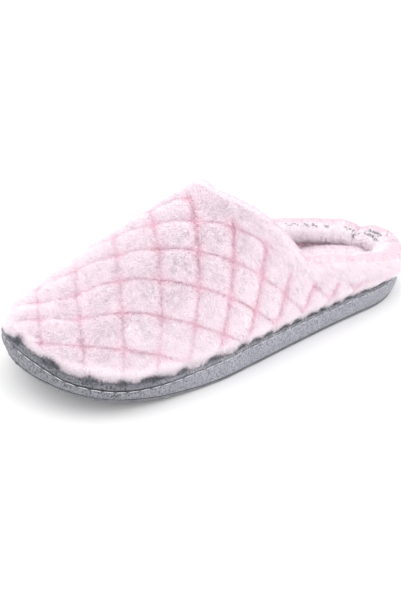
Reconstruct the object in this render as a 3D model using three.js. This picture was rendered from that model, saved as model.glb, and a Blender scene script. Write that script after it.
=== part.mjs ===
// Quilted fleece clog slipper, the left shoe of a pair, in millimetres.
// The toe points to -Y, the heel to +Y, the outer (lateral) side of the foot to +X, and +Z is up.
// Every piece is worked out from one last: an outline on the floor, a seam line, a ridge and a topline.

import * as THREE from "three";
import { mergeVertices } from "three/addons/utils/BufferGeometryUtils.js";

// Plan of the sole
const LENGTH = 266;
const BALL_WIDTH = 98.5;
const HEEL_WIDTH = 72;
const HEEL_ROUND = 44;
const HEEL_ROUND_POWER = 2.2;
const TOE_ROUND = 44;
const TOE_ROUND_POWER = 2.5;
const TOE_SWING = 2.4;

// Heights of the sole
const SOLE_HEIGHT = 14;
const TOE_SPRING = 17;
const HEEL_LIFT = 3;
const OUTSOLE_THICKNESS = 1.5;
const OUTSOLE_INSET = 0.4;
const SOLE_TUCK = 1;
const SOLE_BULGE = 0.8;
const SOLE_EDGE = 1;
const SOLE_TOP_EDGE = 0.8;

// Heights of the upper above the floor
const INSTEP_HEIGHT = 95;
const TOE_BOX_HEIGHT = 34;
const HEEL_COLLAR_HEIGHT = 32;
const OPENING_LENGTH = 141;
const MEDIAL_DROP = 4;
const HEEL_DIP = 5.5;
const HEEL_DIP_PLACE = 17;
const HEEL_DIP_WIDTH = 6;

// Form of the upper
const UPPER_SPREAD = 3.6;
const TOE_SPREAD = 0.6;
const SWELL_HEIGHT = 9;
const SWELL_SHARE = 0.4;
const HEEL_LEAN = 1.5;
const SIDE_FULLNESS = 2;
const TOE_FULLNESS = 1.8;
const TOE_CAP_AT = 0.88;
const CROWN_FULLNESS = 2.08;
const HEEL_RIDGE = 34;
const TOE_RIDGE = 30;
const RIDGE_BLEND = 8;
const WALL = 5.5;
const HEEL_WALL = 16.5;
const COLLAR_ROLL = 12.5;
const HEEL_ROLL = 21;
const HEEL_PAD_LENGTH = 64;
const ROLL_CROWN = 6.25;
const ROLL_FULLNESS = 2.6;
const ROLL_BAND = 16;

// Grey turned edge along the seam
const RAND_TOE_HEIGHT = 4.2;
const RAND_HEEL_HEIGHT = 2.2;
const RAND_RISE_AT = 0.45;
const RAND_RISE_SHARE = 0.35;
const RAND_CROWN_SHARE = 0.75;
const RAND_THICKNESS = 1.8;
const RAND_PROUD = 0.4;

// Padded footbed
const INSOLE_THICKNESS = 4.5;
const INSOLE_TOE_THICKNESS = 2;
const INSOLE_TAPER_AT = 0.8;
const INSOLE_TAPER_SHARE = 0.16;
const INSOLE_EDGE = 3;

// Diamond quilting, in millimetres of cloth
const QUILT_PITCH = 23.6;
const QUILT_DEPTH = 3;
const QUILT_SOFTNESS = 1.3;
const CROSS_SLOPE = 0.5;
const LONG_SLOPE = 1;
const CROSS_PHASE = 16;
const LONG_PHASE = 14;
const HEEL_TURN = 60;
const BACK_SEAM = 7;

// Clearances
const SEAT_GAP = 0.3;
const FOOTBED_GAP = 0.8;
const FOOTBED_TOE_GAP = 3;

// Fineness of the facets
const STATION_PITCH = 6.2;
const UPPER_ROWS = 24;
const LINING_STEP = 4;
const ROLL_STEPS = 6;
const FINE = 240;
const RIM_SAMPLES = 90;

// Outline of the sole: place along the length, how far the width follows the ball,
// half widths as shares of that width's half, sole height and floor lift as shares.
const SOLE_TABLE = [
  { at: 0.0, ball: 0.0, lateral: 0.97, medial: 0.97, height: 0.88, heelLift: 1.0, toeLift: 0.0 },
  { at: 0.06, ball: 0.0, lateral: 0.985, medial: 0.995, height: 0.97, heelLift: 0.33, toeLift: 0.0 },
  { at: 0.15, ball: 0.0, lateral: 1.035, medial: 1.0, height: 0.985, heelLift: 0.0, toeLift: 0.0 },
  { at: 0.28, ball: 0.1, lateral: 1.06, medial: 0.925, height: 0.97, heelLift: 0.0, toeLift: 0.0 },
  { at: 0.42, ball: 0.4, lateral: 1.05, medial: 0.845, height: 1.03, heelLift: 0.0, toeLift: 0.0 },
  { at: 0.55, ball: 0.8, lateral: 1.015, medial: 0.865, height: 1.05, heelLift: 0.0, toeLift: 0.0 },
  { at: 0.65, ball: 1.0, lateral: 1.012, medial: 0.945, height: 1.0, heelLift: 0.0, toeLift: 0.0 },
  { at: 0.76, ball: 1.0, lateral: 1.01, medial: 0.99, height: 0.77, heelLift: 0.0, toeLift: 0.12 },
  { at: 0.87, ball: 1.0, lateral: 0.955, medial: 0.945, height: 0.58, heelLift: 0.0, toeLift: 0.42 },
  { at: 0.95, ball: 1.0, lateral: 0.867, medial: 0.88, height: 0.61, heelLift: 0.0, toeLift: 0.73 },
  { at: 1.0, ball: 1.0, lateral: 0.75, medial: 0.78, height: 0.92, heelLift: 0.0, toeLift: 1.0 },
];

// Ridge of the last: place along the length, height between the toe box and the instep.
const RIDGE_TABLE = [
  { at: 0.0, rise: 1.0 },
  { at: 0.3, rise: 1.01 },
  { at: 0.5, rise: 0.975 },
  { at: 0.56, rise: 0.92 },
  { at: 0.64, rise: 0.786 },
  { at: 0.72, rise: 0.619 },
  { at: 0.8, rise: 0.424 },
  { at: 0.88, rise: 0.158 },
  { at: 0.93, rise: 0.0 },
];

// Topline seen from the side: place along the opening, height between the heel collar and the instep.
const TOPLINE_TABLE = [
  { at: 0.0, rise: -0.025 },
  { at: 0.19, rise: 0.05 },
  { at: 0.42, rise: 0.165 },
  { at: 0.6, rise: 0.28 },
  { at: 0.71, rise: 0.335 },
  { at: 0.76, rise: 0.39 },
  { at: 0.81, rise: 0.52 },
  { at: 0.913, rise: 0.83 },
  { at: 1.009, rise: 0.985 },
  { at: 1.094, rise: 1.08 },
];

// Side of the sole from its lower edge to its top: share of the height, share of the lower
// tuck, share of the bulge.
const SOLE_SIDE = [
  { up: 0.25, tuck: 0.8, bulge: 0.4 },
  { up: 0.5, tuck: 0.35, bulge: 1.0 },
  { up: 0.75, tuck: 0.1, bulge: 0.8 },
];

const LATERAL = 1;
const MEDIAL = -1;

function mix(a, b, t) {
  return a + (b - a) * t;
}

function smooth(t) {
  const c = Math.min(1, Math.max(0, t));
  return c * c * (3 - 2 * c);
}

// A monotone cubic through one column of a table.
function curve(table, scale, column) {
  const x = table.map((row) => row.at * scale);
  const y = table.map(column);
  const last = x.length - 1;
  const slope = [];
  for (let i = 0; i < last; i += 1) {
    slope.push((y[i + 1] - y[i]) / (x[i + 1] - x[i]));
  }
  const tangent = x.map((_, i) => {
    if (i === 0) return slope[0];
    if (i === last) return slope[last - 1];
    if (slope[i - 1] * slope[i] <= 0) return 0;
    const before = x[i] - x[i - 1];
    const after = x[i + 1] - x[i];
    const w1 = 2 * after + before;
    const w2 = after + 2 * before;
    return (w1 + w2) / (w1 / slope[i - 1] + w2 / slope[i]);
  });
  return (s) => {
    if (s <= x[0]) return y[0];
    if (s >= x[last]) return y[last];
    let i = 0;
    while (s > x[i + 1]) i += 1;
    const h = x[i + 1] - x[i];
    const t = (s - x[i]) / h;
    const start = y[i] + t * t * (3 - 2 * t) * (y[i + 1] - y[i]);
    return start + h * t * (1 - t) * ((1 - t) * tangent[i] - t * tangent[i + 1]);
  };
}

const widthAt = (row) => mix(HEEL_WIDTH, BALL_WIDTH, row.ball) / 2;
const lateralWidth = curve(SOLE_TABLE, LENGTH, (row) => row.lateral * widthAt(row));
const medialWidth = curve(SOLE_TABLE, LENGTH, (row) => row.medial * widthAt(row));
const floorLift = curve(SOLE_TABLE, LENGTH, (row) => row.heelLift * HEEL_LIFT + row.toeLift * TOE_SPRING);
const soleHeight = curve(SOLE_TABLE, LENGTH, (row) => row.height * SOLE_HEIGHT);
const ridgeHeight = curve(RIDGE_TABLE, LENGTH, (row) => mix(TOE_BOX_HEIGHT, INSTEP_HEIGHT, row.rise));
const toplineHeight = curve(TOPLINE_TABLE, OPENING_LENGTH, (row) =>
  mix(HEEL_COLLAR_HEIGHT, INSTEP_HEIGHT, row.rise),
);

const seamHeight = (s) => floorLift(s) + soleHeight(s);

// Rounding of the plan at both ends, 0 at the tips and 1 along the foot.
function ends(s) {
  const heel = Math.max(0, 1 - s / HEEL_ROUND);
  const toe = Math.max(0, 1 - (LENGTH - s) / TOE_ROUND);
  const heelPart = (1 - heel ** HEEL_ROUND_POWER) ** (1 / HEEL_ROUND_POWER);
  const toePart = (1 - toe ** TOE_ROUND_POWER) ** (1 / TOE_ROUND_POWER);
  return heelPart * toePart;
}

// The foot's centre line swings to the medial side at the toe.
function centre(s) {
  const t = Math.max(0, s / LENGTH - 0.5) / 0.5;
  return -TOE_SWING * t * t;
}

// A point of the plan, grown outwards all round. s runs from the heel, 0, to the toe.
function plan(s, side, grow) {
  const width = side === LATERAL ? lateralWidth(s) : medialWidth(s);
  const x = centre(s) + side * (width + grow) * ends(s);
  const along = s + ((s - LENGTH / 2) / (LENGTH / 2)) * grow;
  return { x, along };
}

function point(x, along, z) {
  return new THREE.Vector3(x, LENGTH / 2 - along, z);
}

// Stations an equal way apart along the plan, with the given ones among them.
function stations(pitch, fixed) {
  const walk = [0];
  const at = (k) => (LENGTH * (1 - Math.cos((Math.PI * k) / FINE))) / 2;
  for (let k = 1; k <= FINE; k += 1) {
    const a = plan(at(k - 1), LATERAL, 0);
    const b = plan(at(k), LATERAL, 0);
    walk.push(walk[k - 1] + Math.hypot(b.x - a.x, b.along - a.along));
  }
  const count = Math.round(walk[FINE] / pitch);
  const list = [];
  let k = 0;
  for (let n = 0; n <= count; n += 1) {
    const goal = (walk[FINE] * n) / count;
    while (k < FINE - 1 && walk[k + 1] < goal) k += 1;
    const t = (goal - walk[k]) / (walk[k + 1] - walk[k]);
    list.push(n === count ? LENGTH : mix(at(k), at(k + 1), t));
  }
  const near = (s) => fixed.some((f) => Math.abs(f - s) < pitch * 0.35);
  const kept = list.filter((s) => s === 0 || s === LENGTH || !near(s));
  return kept.concat(fixed).sort((a, b) => a - b);
}

// Closed solid from triangles of points. Shared corners are merged.
function solid(triangles) {
  const flat = [];
  for (const corner of triangles.flat()) {
    flat.push(corner.x, corner.y, corner.z);
  }
  const loose = new THREE.BufferGeometry();
  loose.setAttribute("position", new THREE.Float32BufferAttribute(flat, 3));
  const merged = mergeVertices(loose, 1e-3);
  const index = merged.getIndex().array;
  const kept = [];
  for (let i = 0; i < index.length; i += 3) {
    const [a, b, c] = [index[i], index[i + 1], index[i + 2]];
    if (a !== b && b !== c && c !== a) kept.push(a, b, c);
  }
  merged.setIndex(kept);
  return merged;
}

// Two triangles across a four-sided face, split along its shorter diagonal.
function quad(a, b, c, d) {
  if (a.distanceToSquared(c) <= b.distanceToSquared(d)) {
    return [
      [a, b, c],
      [a, c, d],
    ];
  }
  return [
    [a, b, d],
    [b, c, d],
  ];
}

// Skin between two closed rings. The first ring is the lower or outer one.
function skin(lower, upper) {
  const faces = [];
  for (let i = 0; i < lower.length; i += 1) {
    const next = (i + 1) % lower.length;
    faces.push(...quad(lower[next], lower[i], upper[i], upper[next]));
  }
  return faces;
}

// Strips straight across the foot close a ring. Rings run up the lateral side to the
// toe and back down the medial side.
function lid(ring, facingUp) {
  const faces = [];
  const half = ring.length / 2;
  const other = (i) => ring[(ring.length - i) % ring.length];
  for (let i = 0; i < half; i += 1) {
    const strip = quad(ring[i], ring[i + 1], other(i + 1), other(i));
    for (const [a, b, c] of strip) {
      faces.push(facingUp ? [a, c, b] : [a, b, c]);
    }
  }
  return faces;
}

// Ring round the plan at one inset and one height above the floor for each station.
function ring(list, grow, height) {
  const grown = typeof grow === "function" ? grow : () => grow;
  const lateral = list.map((s) => plan(s, LATERAL, grown(s)));
  const medial = list.map((s) => plan(s, MEDIAL, grown(s)));
  const points = lateral.map((p, i) => point(p.x, p.along, height(list[i])));
  for (let i = list.length - 2; i > 0; i -= 1) {
    points.push(point(medial[i].x, medial[i].along, height(list[i])));
  }
  return points;
}

// Solid from a stack of rings, with lids below and above.
function stack(rings) {
  const faces = [...lid(rings[0], false), ...lid(rings[rings.length - 1], true)];
  for (let k = 0; k + 1 < rings.length; k += 1) {
    faces.push(...skin(rings[k], rings[k + 1]));
  }
  return solid(faces);
}

// Rubber sheet that the slipper stands on, inside the lower edge of the sole.
function outsole() {
  const list = stations(STATION_PITCH, []);
  const inset = -SOLE_TUCK - OUTSOLE_INSET;
  const chamfer = OUTSOLE_THICKNESS / 3;
  return stack([
    ring(list, inset - chamfer, (s) => floorLift(s)),
    ring(list, inset, (s) => floorLift(s) + chamfer),
    ring(list, inset, (s) => floorLift(s) + OUTSOLE_THICKNESS),
  ]);
}

// Foam sole wrapped in knit, with a rounded lower edge and a slightly full side.
function sole() {
  const list = stations(STATION_PITCH, []);
  const base = (s) => floorLift(s) + OUTSOLE_THICKNESS + SEAT_GAP;
  const rise = (s) => seamHeight(s) - base(s);
  const edge = (s) => Math.min(SOLE_EDGE, rise(s) / 3);
  const lower = -SOLE_TUCK;
  const rings = [
    ring(list, lower - SOLE_EDGE, base),
    ring(list, lower - SOLE_EDGE * 0.3, (s) => base(s) + edge(s) * 0.3),
  ];
  for (const step of SOLE_SIDE) {
    const grow = lower * step.tuck + SOLE_BULGE * step.bulge;
    rings.push(ring(list, grow, (s) => base(s) + Math.max(edge(s), rise(s) * step.up)));
  }
  rings.push(ring(list, 0, (s) => seamHeight(s) - SOLE_TOP_EDGE));
  rings.push(ring(list, -SOLE_TOP_EDGE, seamHeight));
  return stack(rings);
}

// The strip is taller round the toe than round the heel.
function randHeight(s) {
  return mix(RAND_HEEL_HEIGHT, RAND_TOE_HEIGHT, smooth((s / LENGTH - RAND_RISE_AT) / RAND_RISE_SHARE));
}

// Grey strip of the sole's cloth, turned up over the foot of the upper.
function rand() {
  const list = stations(STATION_PITCH, []);
  const outer = RAND_PROUD;
  const inner = RAND_PROUD - RAND_THICKNESS;
  const foot = (s) => seamHeight(s) + SEAT_GAP;
  const top = (s) => foot(s) + randHeight(s);
  const crown = (s) => foot(s) + randHeight(s) * RAND_CROWN_SHARE;
  const section = [
    ring(list, inner, foot),
    ring(list, outer, foot),
    ring(list, outer, crown),
    ring(list, mix(outer, inner, 0.5), top),
    ring(list, inner, crown),
  ];
  const faces = [];
  for (let k = 0; k < section.length; k += 1) {
    faces.push(...skin(section[k], section[(k + 1) % section.length]));
  }
  return solid(faces);
}

// How far the foot of the upper stands inside the plan, to clear the grey strip.
const UPPER_TUCK = RAND_THICKNESS - RAND_PROUD + SEAT_GAP;

// The ridge stops short of both ends, so that the sides fan round the toe and heel.
function ridgePlace(s) {
  const soft = (t) => RIDGE_BLEND * Math.log1p(Math.exp(t / RIDGE_BLEND));
  const front = HEEL_RIDGE + soft(s - HEEL_RIDGE);
  const stop = LENGTH - TOE_RIDGE;
  return stop - soft(stop - front);
}

// How far a station belongs to the toe cap, where the upper is flatter and closer.
function toeCap(s) {
  return smooth((s / LENGTH - TOE_CAP_AT) / (1 - TOE_CAP_AT));
}

function spread(s) {
  return mix(UPPER_SPREAD, TOE_SPREAD, toeCap(s));
}

// Padding is thickest at the back of the heel and thins out along the opening.
function padShare(s) {
  return Math.max(0, 1 - s / HEEL_PAD_LENGTH) ** 2;
}

function wallAt(s) {
  return mix(WALL, HEEL_WALL, padShare(s));
}

function rollAt(s) {
  return mix(COLLAR_ROLL, HEEL_ROLL, padShare(s));
}

// One point of a skin of the upper: station, side, angle up the section, the way that
// the skin stands outside the plan, and the way that it lies under the ridge.
function section(s, side, angle, grow, under) {
  const foot = plan(s, side, grow);
  const along = ridgePlace(s);
  const x = centre(along);
  const base = seamHeight(s) + SEAT_GAP;
  const reach = Math.cos(angle) ** (2 / mix(SIDE_FULLNESS, TOE_FULLNESS, toeCap(s)));
  const rise = Math.sin(angle) ** (2 / CROWN_FULLNESS);
  const z = base + (ridgeHeight(along) - under - base) * rise;
  return point(mix(x, foot.x, reach), mix(along, foot.along, reach), z);
}

function angleAtHeight(s, height) {
  const full = ridgeHeight(ridgePlace(s)) - seamHeight(s) - SEAT_GAP;
  const share = Math.min(1, Math.max(0, height / full));
  return Math.asin(share ** (CROWN_FULLNESS / 2));
}

// The topline dips on both sides of the pillow at the back of the heel.
function heelDip(s, side) {
  const width = (side === LATERAL ? lateralWidth(s) : medialWidth(s)) * ends(s);
  const away = (width - HEEL_DIP_PLACE) / HEEL_DIP_WIDTH;
  return HEEL_DIP * Math.exp(-away * away);
}

// Height at which the wall ends below the crest of the rolled collar.
function wallEnd(along, side) {
  const step = 2;
  const slope = (toplineHeight(along + step) - toplineHeight(along - step)) / (2 * step);
  const place = along / OPENING_LENGTH;
  const low = side === MEDIAL ? MEDIAL_DROP * smooth(place / 0.12) * smooth((0.95 - place) / 0.3) : 0;
  return toplineHeight(along) - low - ROLL_CROWN * Math.hypot(1, Math.min(slope, 1));
}

// Angle at which a section meets the topline, or a right angle where it closes at the ridge.
function openAngle(s, side) {
  const over = (angle) => {
    const p = section(s, side, angle, spread(s), 0);
    return p.z - wallEnd(LENGTH / 2 - p.y, side) + heelDip(s, side);
  };
  if (over(Math.PI / 2) <= 0) return Math.PI / 2;
  let low = 0;
  let high = Math.PI / 2;
  for (let n = 0; n < 40; n += 1) {
    const middle = (low + high) / 2;
    if (over(middle) > 0) high = middle;
    else low = middle;
  }
  return high;
}

// Station where the topline crosses the ridge, at the middle of the throat.
function throatStation() {
  let low = 0;
  let high = LENGTH - TOE_RIDGE;
  for (let n = 0; n < 40; n += 1) {
    const middle = (low + high) / 2;
    const along = ridgePlace(middle);
    if (ridgeHeight(along) > wallEnd(along, LATERAL)) low = middle;
    else high = middle;
  }
  return high;
}

// Cloth coordinates of a point of the upper: along the shoe and across it, unrolled.
function cloth(s, side, angle) {
  const turn = Math.max(s, HEEL_TURN);
  const count = 24;
  const stepAt = (station, k, top, from) => {
    const a = section(station, side, mix(from, top, k / count), spread(station), 0);
    const b = section(station, side, mix(from, top, (k + 1) / count), spread(station), 0);
    return { x: b.x - a.x, y: b.y - a.y, z: b.z - a.z };
  };
  let across = 0;
  let forward = 0;
  const from = s < HEEL_TURN ? 0 : angle;
  for (let k = 0; k < count; k += 1) {
    const d = stepAt(turn, k, Math.PI / 2, from);
    const flat = Math.hypot(d.x, d.y) || 1;
    across -= Math.sign(d.x) * Math.hypot(d.x, (d.z * d.x) / flat);
    forward += Math.sign(d.y) * Math.hypot(d.y, (d.z * d.y) / flat);
  }
  if (s >= HEEL_TURN) {
    return { along: ridgePlace(s) + forward, across };
  }
  let height = 0;
  for (let k = 0; k < count; k += 1) {
    const d = stepAt(s, k, angle, 0);
    height += Math.hypot(d.x, d.y, d.z);
  }
  let round = 0;
  for (let k = 0; k < count; k += 1) {
    const a = plan(mix(s, HEEL_TURN, k / count), side, 0);
    const b = plan(mix(s, HEEL_TURN, (k + 1) / count), side, 0);
    round += Math.hypot(b.x - a.x, b.along - a.along);
  }
  return { along: HEEL_TURN - round, across: across - side * height };
}

// Depth of the quilting: 0 on the pillows and QUILT_DEPTH in the sewn channels.
function quilting(place) {
  const wave = (t) => Math.abs(Math.sin((Math.PI * t) / QUILT_PITCH));
  const first = wave(place.along - CROSS_SLOPE * place.across - CROSS_PHASE);
  const second = wave(place.along + LONG_SLOPE * place.across - LONG_PHASE);
  return QUILT_DEPTH * (1 - (first * second) ** QUILT_SOFTNESS);
}

const throat = throatStation();
const rimPoints = new Map([LATERAL, MEDIAL].map((side) => [side, rimLine(side)]));

// The topline on one side, from the heel to the middle of the throat.
function rimLine(side) {
  const points = [];
  for (let k = 0; k <= RIM_SAMPLES; k += 1) {
    const s = throat * Math.sin((Math.PI / 2) * (k / RIM_SAMPLES));
    points.push(section(s, side, openAngle(s, side), spread(s), 0));
  }
  return points;
}

function rimDistance(place, side) {
  return Math.min(...rimPoints.get(side).map((p) => p.distanceTo(place)));
}

// Outer and inner skin points of the upper at one station, from the foot to the topline.
function rows(s, side) {
  const end = openAngle(s, side);
  const open = end < Math.PI / 2 - 1e-6;
  const tuckHeight = randHeight(s) + SEAT_GAP;
  const full = ridgeHeight(ridgePlace(s)) - seamHeight(s) - SEAT_GAP;
  const endHeight = full * Math.sin(end) ** (2 / CROWN_FULLNESS);
  const firstHeights = [0, Math.min(tuckHeight, endHeight * 0.6)];
  const swellHeight = Math.min(SWELL_HEIGHT, (endHeight - firstHeights[1]) * SWELL_SHARE);
  const list = [];
  const placeAlong = ridgePlace(s);
  const lean = HEEL_LEAN * smooth(1 - placeAlong / (OPENING_LENGTH * 0.55));
  for (let j = 0; j <= UPPER_ROWS; j += 1) {
    const first = angleAtHeight(s, firstHeights[1]);
    const angle = j < 2 ? angleAtHeight(s, firstHeights[j]) : mix(first, end, (j - 1) / (UPPER_ROWS - 1));
    const height = full * Math.sin(angle) ** (2 / CROWN_FULLNESS);
    const swell = smooth((height - firstHeights[1]) / swellHeight);
    const up = end > 0 ? angle / end : 0;
    const grow = mix(-UPPER_TUCK, spread(s), swell) - lean * up ** 3;
    const toRim = rimDistance(section(s, side, angle, spread(s), 0), side);
    const aboveFoot = open ? smooth((height - tuckHeight) / (endHeight - tuckHeight)) : 1;
    const roll = smooth(1 - toRim / ROLL_BAND) * aboveFoot;
    const wall = mix(wallAt(s), rollAt(s), roll);
    const outward = (rollAt(s) - wallAt(s)) * 0.25 * roll;
    const outer = section(s, side, angle, grow + outward, -outward);
    const inner = section(s, side, angle, grow + outward - wall, wall - outward);
    const seamFade = smooth((s - BACK_SEAM * 0.2) / BACK_SEAM);
    const footFade = smooth((height - firstHeights[1]) / swellHeight);
    const rimFade = smooth((toRim - COLLAR_ROLL * 0.4) / COLLAR_ROLL);
    const depth = quilting(cloth(s, side, angle)) * seamFade * footFade * rimFade;
    const out = outer.clone().sub(inner).normalize();
    outer.addScaledVector(out, -depth);
    list.push({ outer, inner });
  }
  return { open, list };
}

// Rolled edge between the outer and inner skins all round the opening.
function roll(rim) {
  const loops = [];
  const count = rim.length;
  const fuller = (t) => Math.sign(t) * Math.abs(t) ** (2 / ROLL_FULLNESS);
  for (let step = 0; step <= ROLL_STEPS; step += 1) {
    const angle = (Math.PI * step) / ROLL_STEPS;
    loops.push(
      rim.map(({ outer, inner }, i) => {
        const before = rim[(i + count - 1) % count];
        const after = rim[(i + 1) % count];
        const travel = after.outer.clone().add(after.inner).sub(before.outer).sub(before.inner);
        const across = outer.clone().sub(inner);
        const away = travel.cross(across).normalize();
        const middle = outer.clone().add(inner).multiplyScalar(0.5);
        if (step === 0) return outer;
        if (step === ROLL_STEPS) return inner;
        return middle
          .addScaledVector(across, fuller(Math.cos(angle)) / 2)
          .addScaledVector(away, fuller(Math.sin(angle)) * ROLL_CROWN);
      }),
    );
  }
  return loops;
}

// Hollow fleece upper: vamp and heel in one, open at the collar and throat and underneath.
function upper() {
  const nearThroat = [0.6, 2.5, 6].map((back) => throat - back);
  const list = stations(STATION_PITCH, [...nearThroat, throat]);
  const lateral = list.map((s) => rows(s, LATERAL));
  const medial = list.map((s) => rows(s, MEDIAL));
  const faces = [];
  const tip = list.length - 2;
  // The cells at the tip of the toe share their outer corners with the other side, so
  // their diagonal starts at the corner that is their own.
  const cell = (a, b, c, d, flip, i) => {
    const halves = i === tip ? [[a, b, c], [a, c, d]] : quad(a, b, c, d);
    for (const [p, q, r] of halves) {
      faces.push(flip ? [p, r, q] : [p, q, r]);
    }
  };
  for (const [side, flip] of [[lateral, true], [medial, false]]) {
    for (let i = 0; i + 1 < list.length; i += 1) {
      const here = side[i].list;
      const next = side[i + 1].list;
      for (let j = 0; j < UPPER_ROWS; j += 1) {
        cell(here[j].outer, next[j].outer, next[j + 1].outer, here[j + 1].outer, flip, i);
      }
      for (let j = 0; j < UPPER_ROWS; j += LINING_STEP) {
        const up = Math.min(UPPER_ROWS, j + LINING_STEP);
        cell(here[j].inner, next[j].inner, next[up].inner, here[up].inner, !flip, i);
      }
      cell(here[0].outer, next[0].outer, next[0].inner, here[0].inner, !flip, i);
    }
  }
  const rim = lateral.filter((row) => row.open).map((row) => row.list[UPPER_ROWS]);
  const middle = lateral.find((row) => !row.open).list[UPPER_ROWS];
  const back = medial.filter((row) => row.open).map((row) => row.list[UPPER_ROWS]);
  const loops = roll([...rim, middle, ...back.slice(1).reverse()]);
  for (let k = 0; k + 1 < loops.length; k += 1) {
    faces.push(...skin(loops[k], loops[k + 1]));
  }
  return solid(faces);
}

// Padded footbed inside the foot of the upper. It thins out under the toes.
function insole() {
  const list = stations(STATION_PITCH, []);
  const inset = (more) => (s) => -(UPPER_TUCK + wallAt(s) + FOOTBED_GAP + FOOTBED_TOE_GAP * toeCap(s) + more);
  const foot = (s) => seamHeight(s) + SEAT_GAP;
  const taper = (s) => smooth((s / LENGTH - INSOLE_TAPER_AT) / INSOLE_TAPER_SHARE);
  const thickness = (s) => mix(INSOLE_THICKNESS, INSOLE_TOE_THICKNESS, taper(s));
  const edge = (s) => Math.min(INSOLE_EDGE, thickness(s) / 2);
  const top = (s) => foot(s) + thickness(s);
  return stack([
    ring(list, inset(INSOLE_EDGE * 0.3), foot),
    ring(list, inset(0), (s) => foot(s) + edge(s) * 0.3),
    ring(list, inset(0), (s) => top(s) - edge(s)),
    ring(list, inset(INSOLE_EDGE * 0.3), (s) => top(s) - edge(s) * 0.3),
    ring(list, inset(INSOLE_EDGE), top),
  ]);
}

function piece(name, geometry, color, roughness) {
  const material = new THREE.MeshStandardMaterial({ color, roughness, metalness: 0 });
  const mesh = new THREE.Mesh(geometry, material);
  mesh.name = name;
  return mesh;
}

const group = new THREE.Group();
group.add(piece("outsole", outsole(), 0x6f6f78, 0.85));
group.add(piece("sole", sole(), 0x8e8e9a, 0.95));
group.add(piece("rand", rand(), 0x83838f, 1));
group.add(piece("upper", upper(), 0xf8dfea, 1));
group.add(piece("insole", insole(), 0xf9e4ec, 1));

// The origin is under the middle of the whole slipper, on the floor.
const box = new THREE.Box3().setFromObject(group);
const middle = box.getCenter(new THREE.Vector3());
group.position.set(-middle.x, -middle.y, -box.min.z);
group.updateMatrixWorld(true);

export default group;
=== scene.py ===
"""Looks of a quilted fleece clog slipper, the left shoe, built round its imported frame.

Lengths in the tables and functions of form are millimetres, as a shoe is measured. They become
metres where a piece is made. The toe points to -Y, the outer side of the foot to +X.
"""

import math

import bmesh
import bpy
import numpy as np
from bpy.props import FloatProperty, FloatVectorProperty, IntProperty, PointerProperty
from mathutils import Matrix, Vector


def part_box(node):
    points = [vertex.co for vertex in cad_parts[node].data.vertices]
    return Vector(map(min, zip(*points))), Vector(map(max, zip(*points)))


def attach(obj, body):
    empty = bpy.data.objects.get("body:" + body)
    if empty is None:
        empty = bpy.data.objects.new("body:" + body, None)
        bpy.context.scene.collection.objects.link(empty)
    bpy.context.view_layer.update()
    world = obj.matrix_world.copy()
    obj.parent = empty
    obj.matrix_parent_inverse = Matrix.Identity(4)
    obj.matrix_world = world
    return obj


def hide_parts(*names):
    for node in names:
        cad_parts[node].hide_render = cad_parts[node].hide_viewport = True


bl_info = {
    "name": "Clog slipper",
    "version": (1, 0, 0),
    "blender": (4, 5, 0),
    "location": "3D View > Sidebar > Slipper",
    "description": "Builds a quilted fleece clog slipper with a knit-wrapped sole",
    "category": "Add Mesh",
}

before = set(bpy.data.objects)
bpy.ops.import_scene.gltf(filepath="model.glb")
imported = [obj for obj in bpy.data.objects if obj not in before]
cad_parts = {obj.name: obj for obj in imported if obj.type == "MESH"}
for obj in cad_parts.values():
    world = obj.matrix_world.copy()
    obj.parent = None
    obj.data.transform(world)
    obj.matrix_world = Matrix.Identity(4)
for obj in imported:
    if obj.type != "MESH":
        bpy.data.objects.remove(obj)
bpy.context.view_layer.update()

MM = 0.001

# The photograph's view: size and focal length in pixels, angles in degrees, lengths in millimetres
PHOTO_SIZE = (401, 601)
PHOTO_AZIMUTH = 51.365
PHOTO_ELEVATION = 27.342
PHOTO_ROLL = -2.398
PHOTO_DISTANCE = 590.0
PHOTO_FOCAL = 1017.8
PHOTO_SHIFT = (-22.98, -27.98)
TARGET_HEIGHT = 35.0

# Light: name, place and size in metres, power in watts
LIGHTS = (
    ("key", (0.9, 0.3, 1.2), 0.9, 1.8),
    ("fill", (-0.3, -0.9, 1.4), 1.4, 1.5),
)
SKY_STRENGTH = 1.42

# Plan of the sole
LENGTH = 266.0
HALF = LENGTH / 2
BALL_WIDTH = 98.5
HEEL_WIDTH = 72.0
HEEL_ROUND = 44.0
HEEL_ROUND_POWER = 2.2
TOE_ROUND = 44.0
TOE_ROUND_POWER = 2.5
TOE_SWING = 2.4

# Heights of the sole
SOLE_HEIGHT = 14.0
TOE_SPRING = 17.0
HEEL_LIFT = 3.0
OUTSOLE_THICKNESS = 1.5
SOLE_TUCK = 1.0
SOLE_BULGE = 0.8
SOLE_EDGE = 1.0
SOLE_TOP_EDGE = 0.8

# Heights of the upper above the floor
INSTEP_HEIGHT = 95.0
TOE_BOX_HEIGHT = 34.0
HEEL_COLLAR_HEIGHT = 32.0
OPENING_LENGTH = 141.0
MEDIAL_DROP = 4.0
HEEL_DIP = 5.5
HEEL_DIP_PLACE = 17.0
HEEL_DIP_WIDTH = 6.0

# Form of the upper
UPPER_SPREAD = 3.6
TOE_SPREAD = 0.6
SWELL_HEIGHT = 9.0
SWELL_SHARE = 0.4
HEEL_LEAN = 1.5
SIDE_FULLNESS = 2.0
TOE_FULLNESS = 1.8
TOE_CAP_AT = 0.88
CROWN_FULLNESS = 2.08
HEEL_RIDGE = 34.0
TOE_RIDGE = 30.0
RIDGE_BLEND = 8.0
WALL = 5.5
HEEL_WALL = 16.5
COLLAR_ROLL = 12.5
HEEL_ROLL = 21.0
HEEL_PAD_LENGTH = 64.0
ROLL_CROWN = 6.25
ROLL_FULLNESS = 2.6
ROLL_BAND = 16.0

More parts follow.
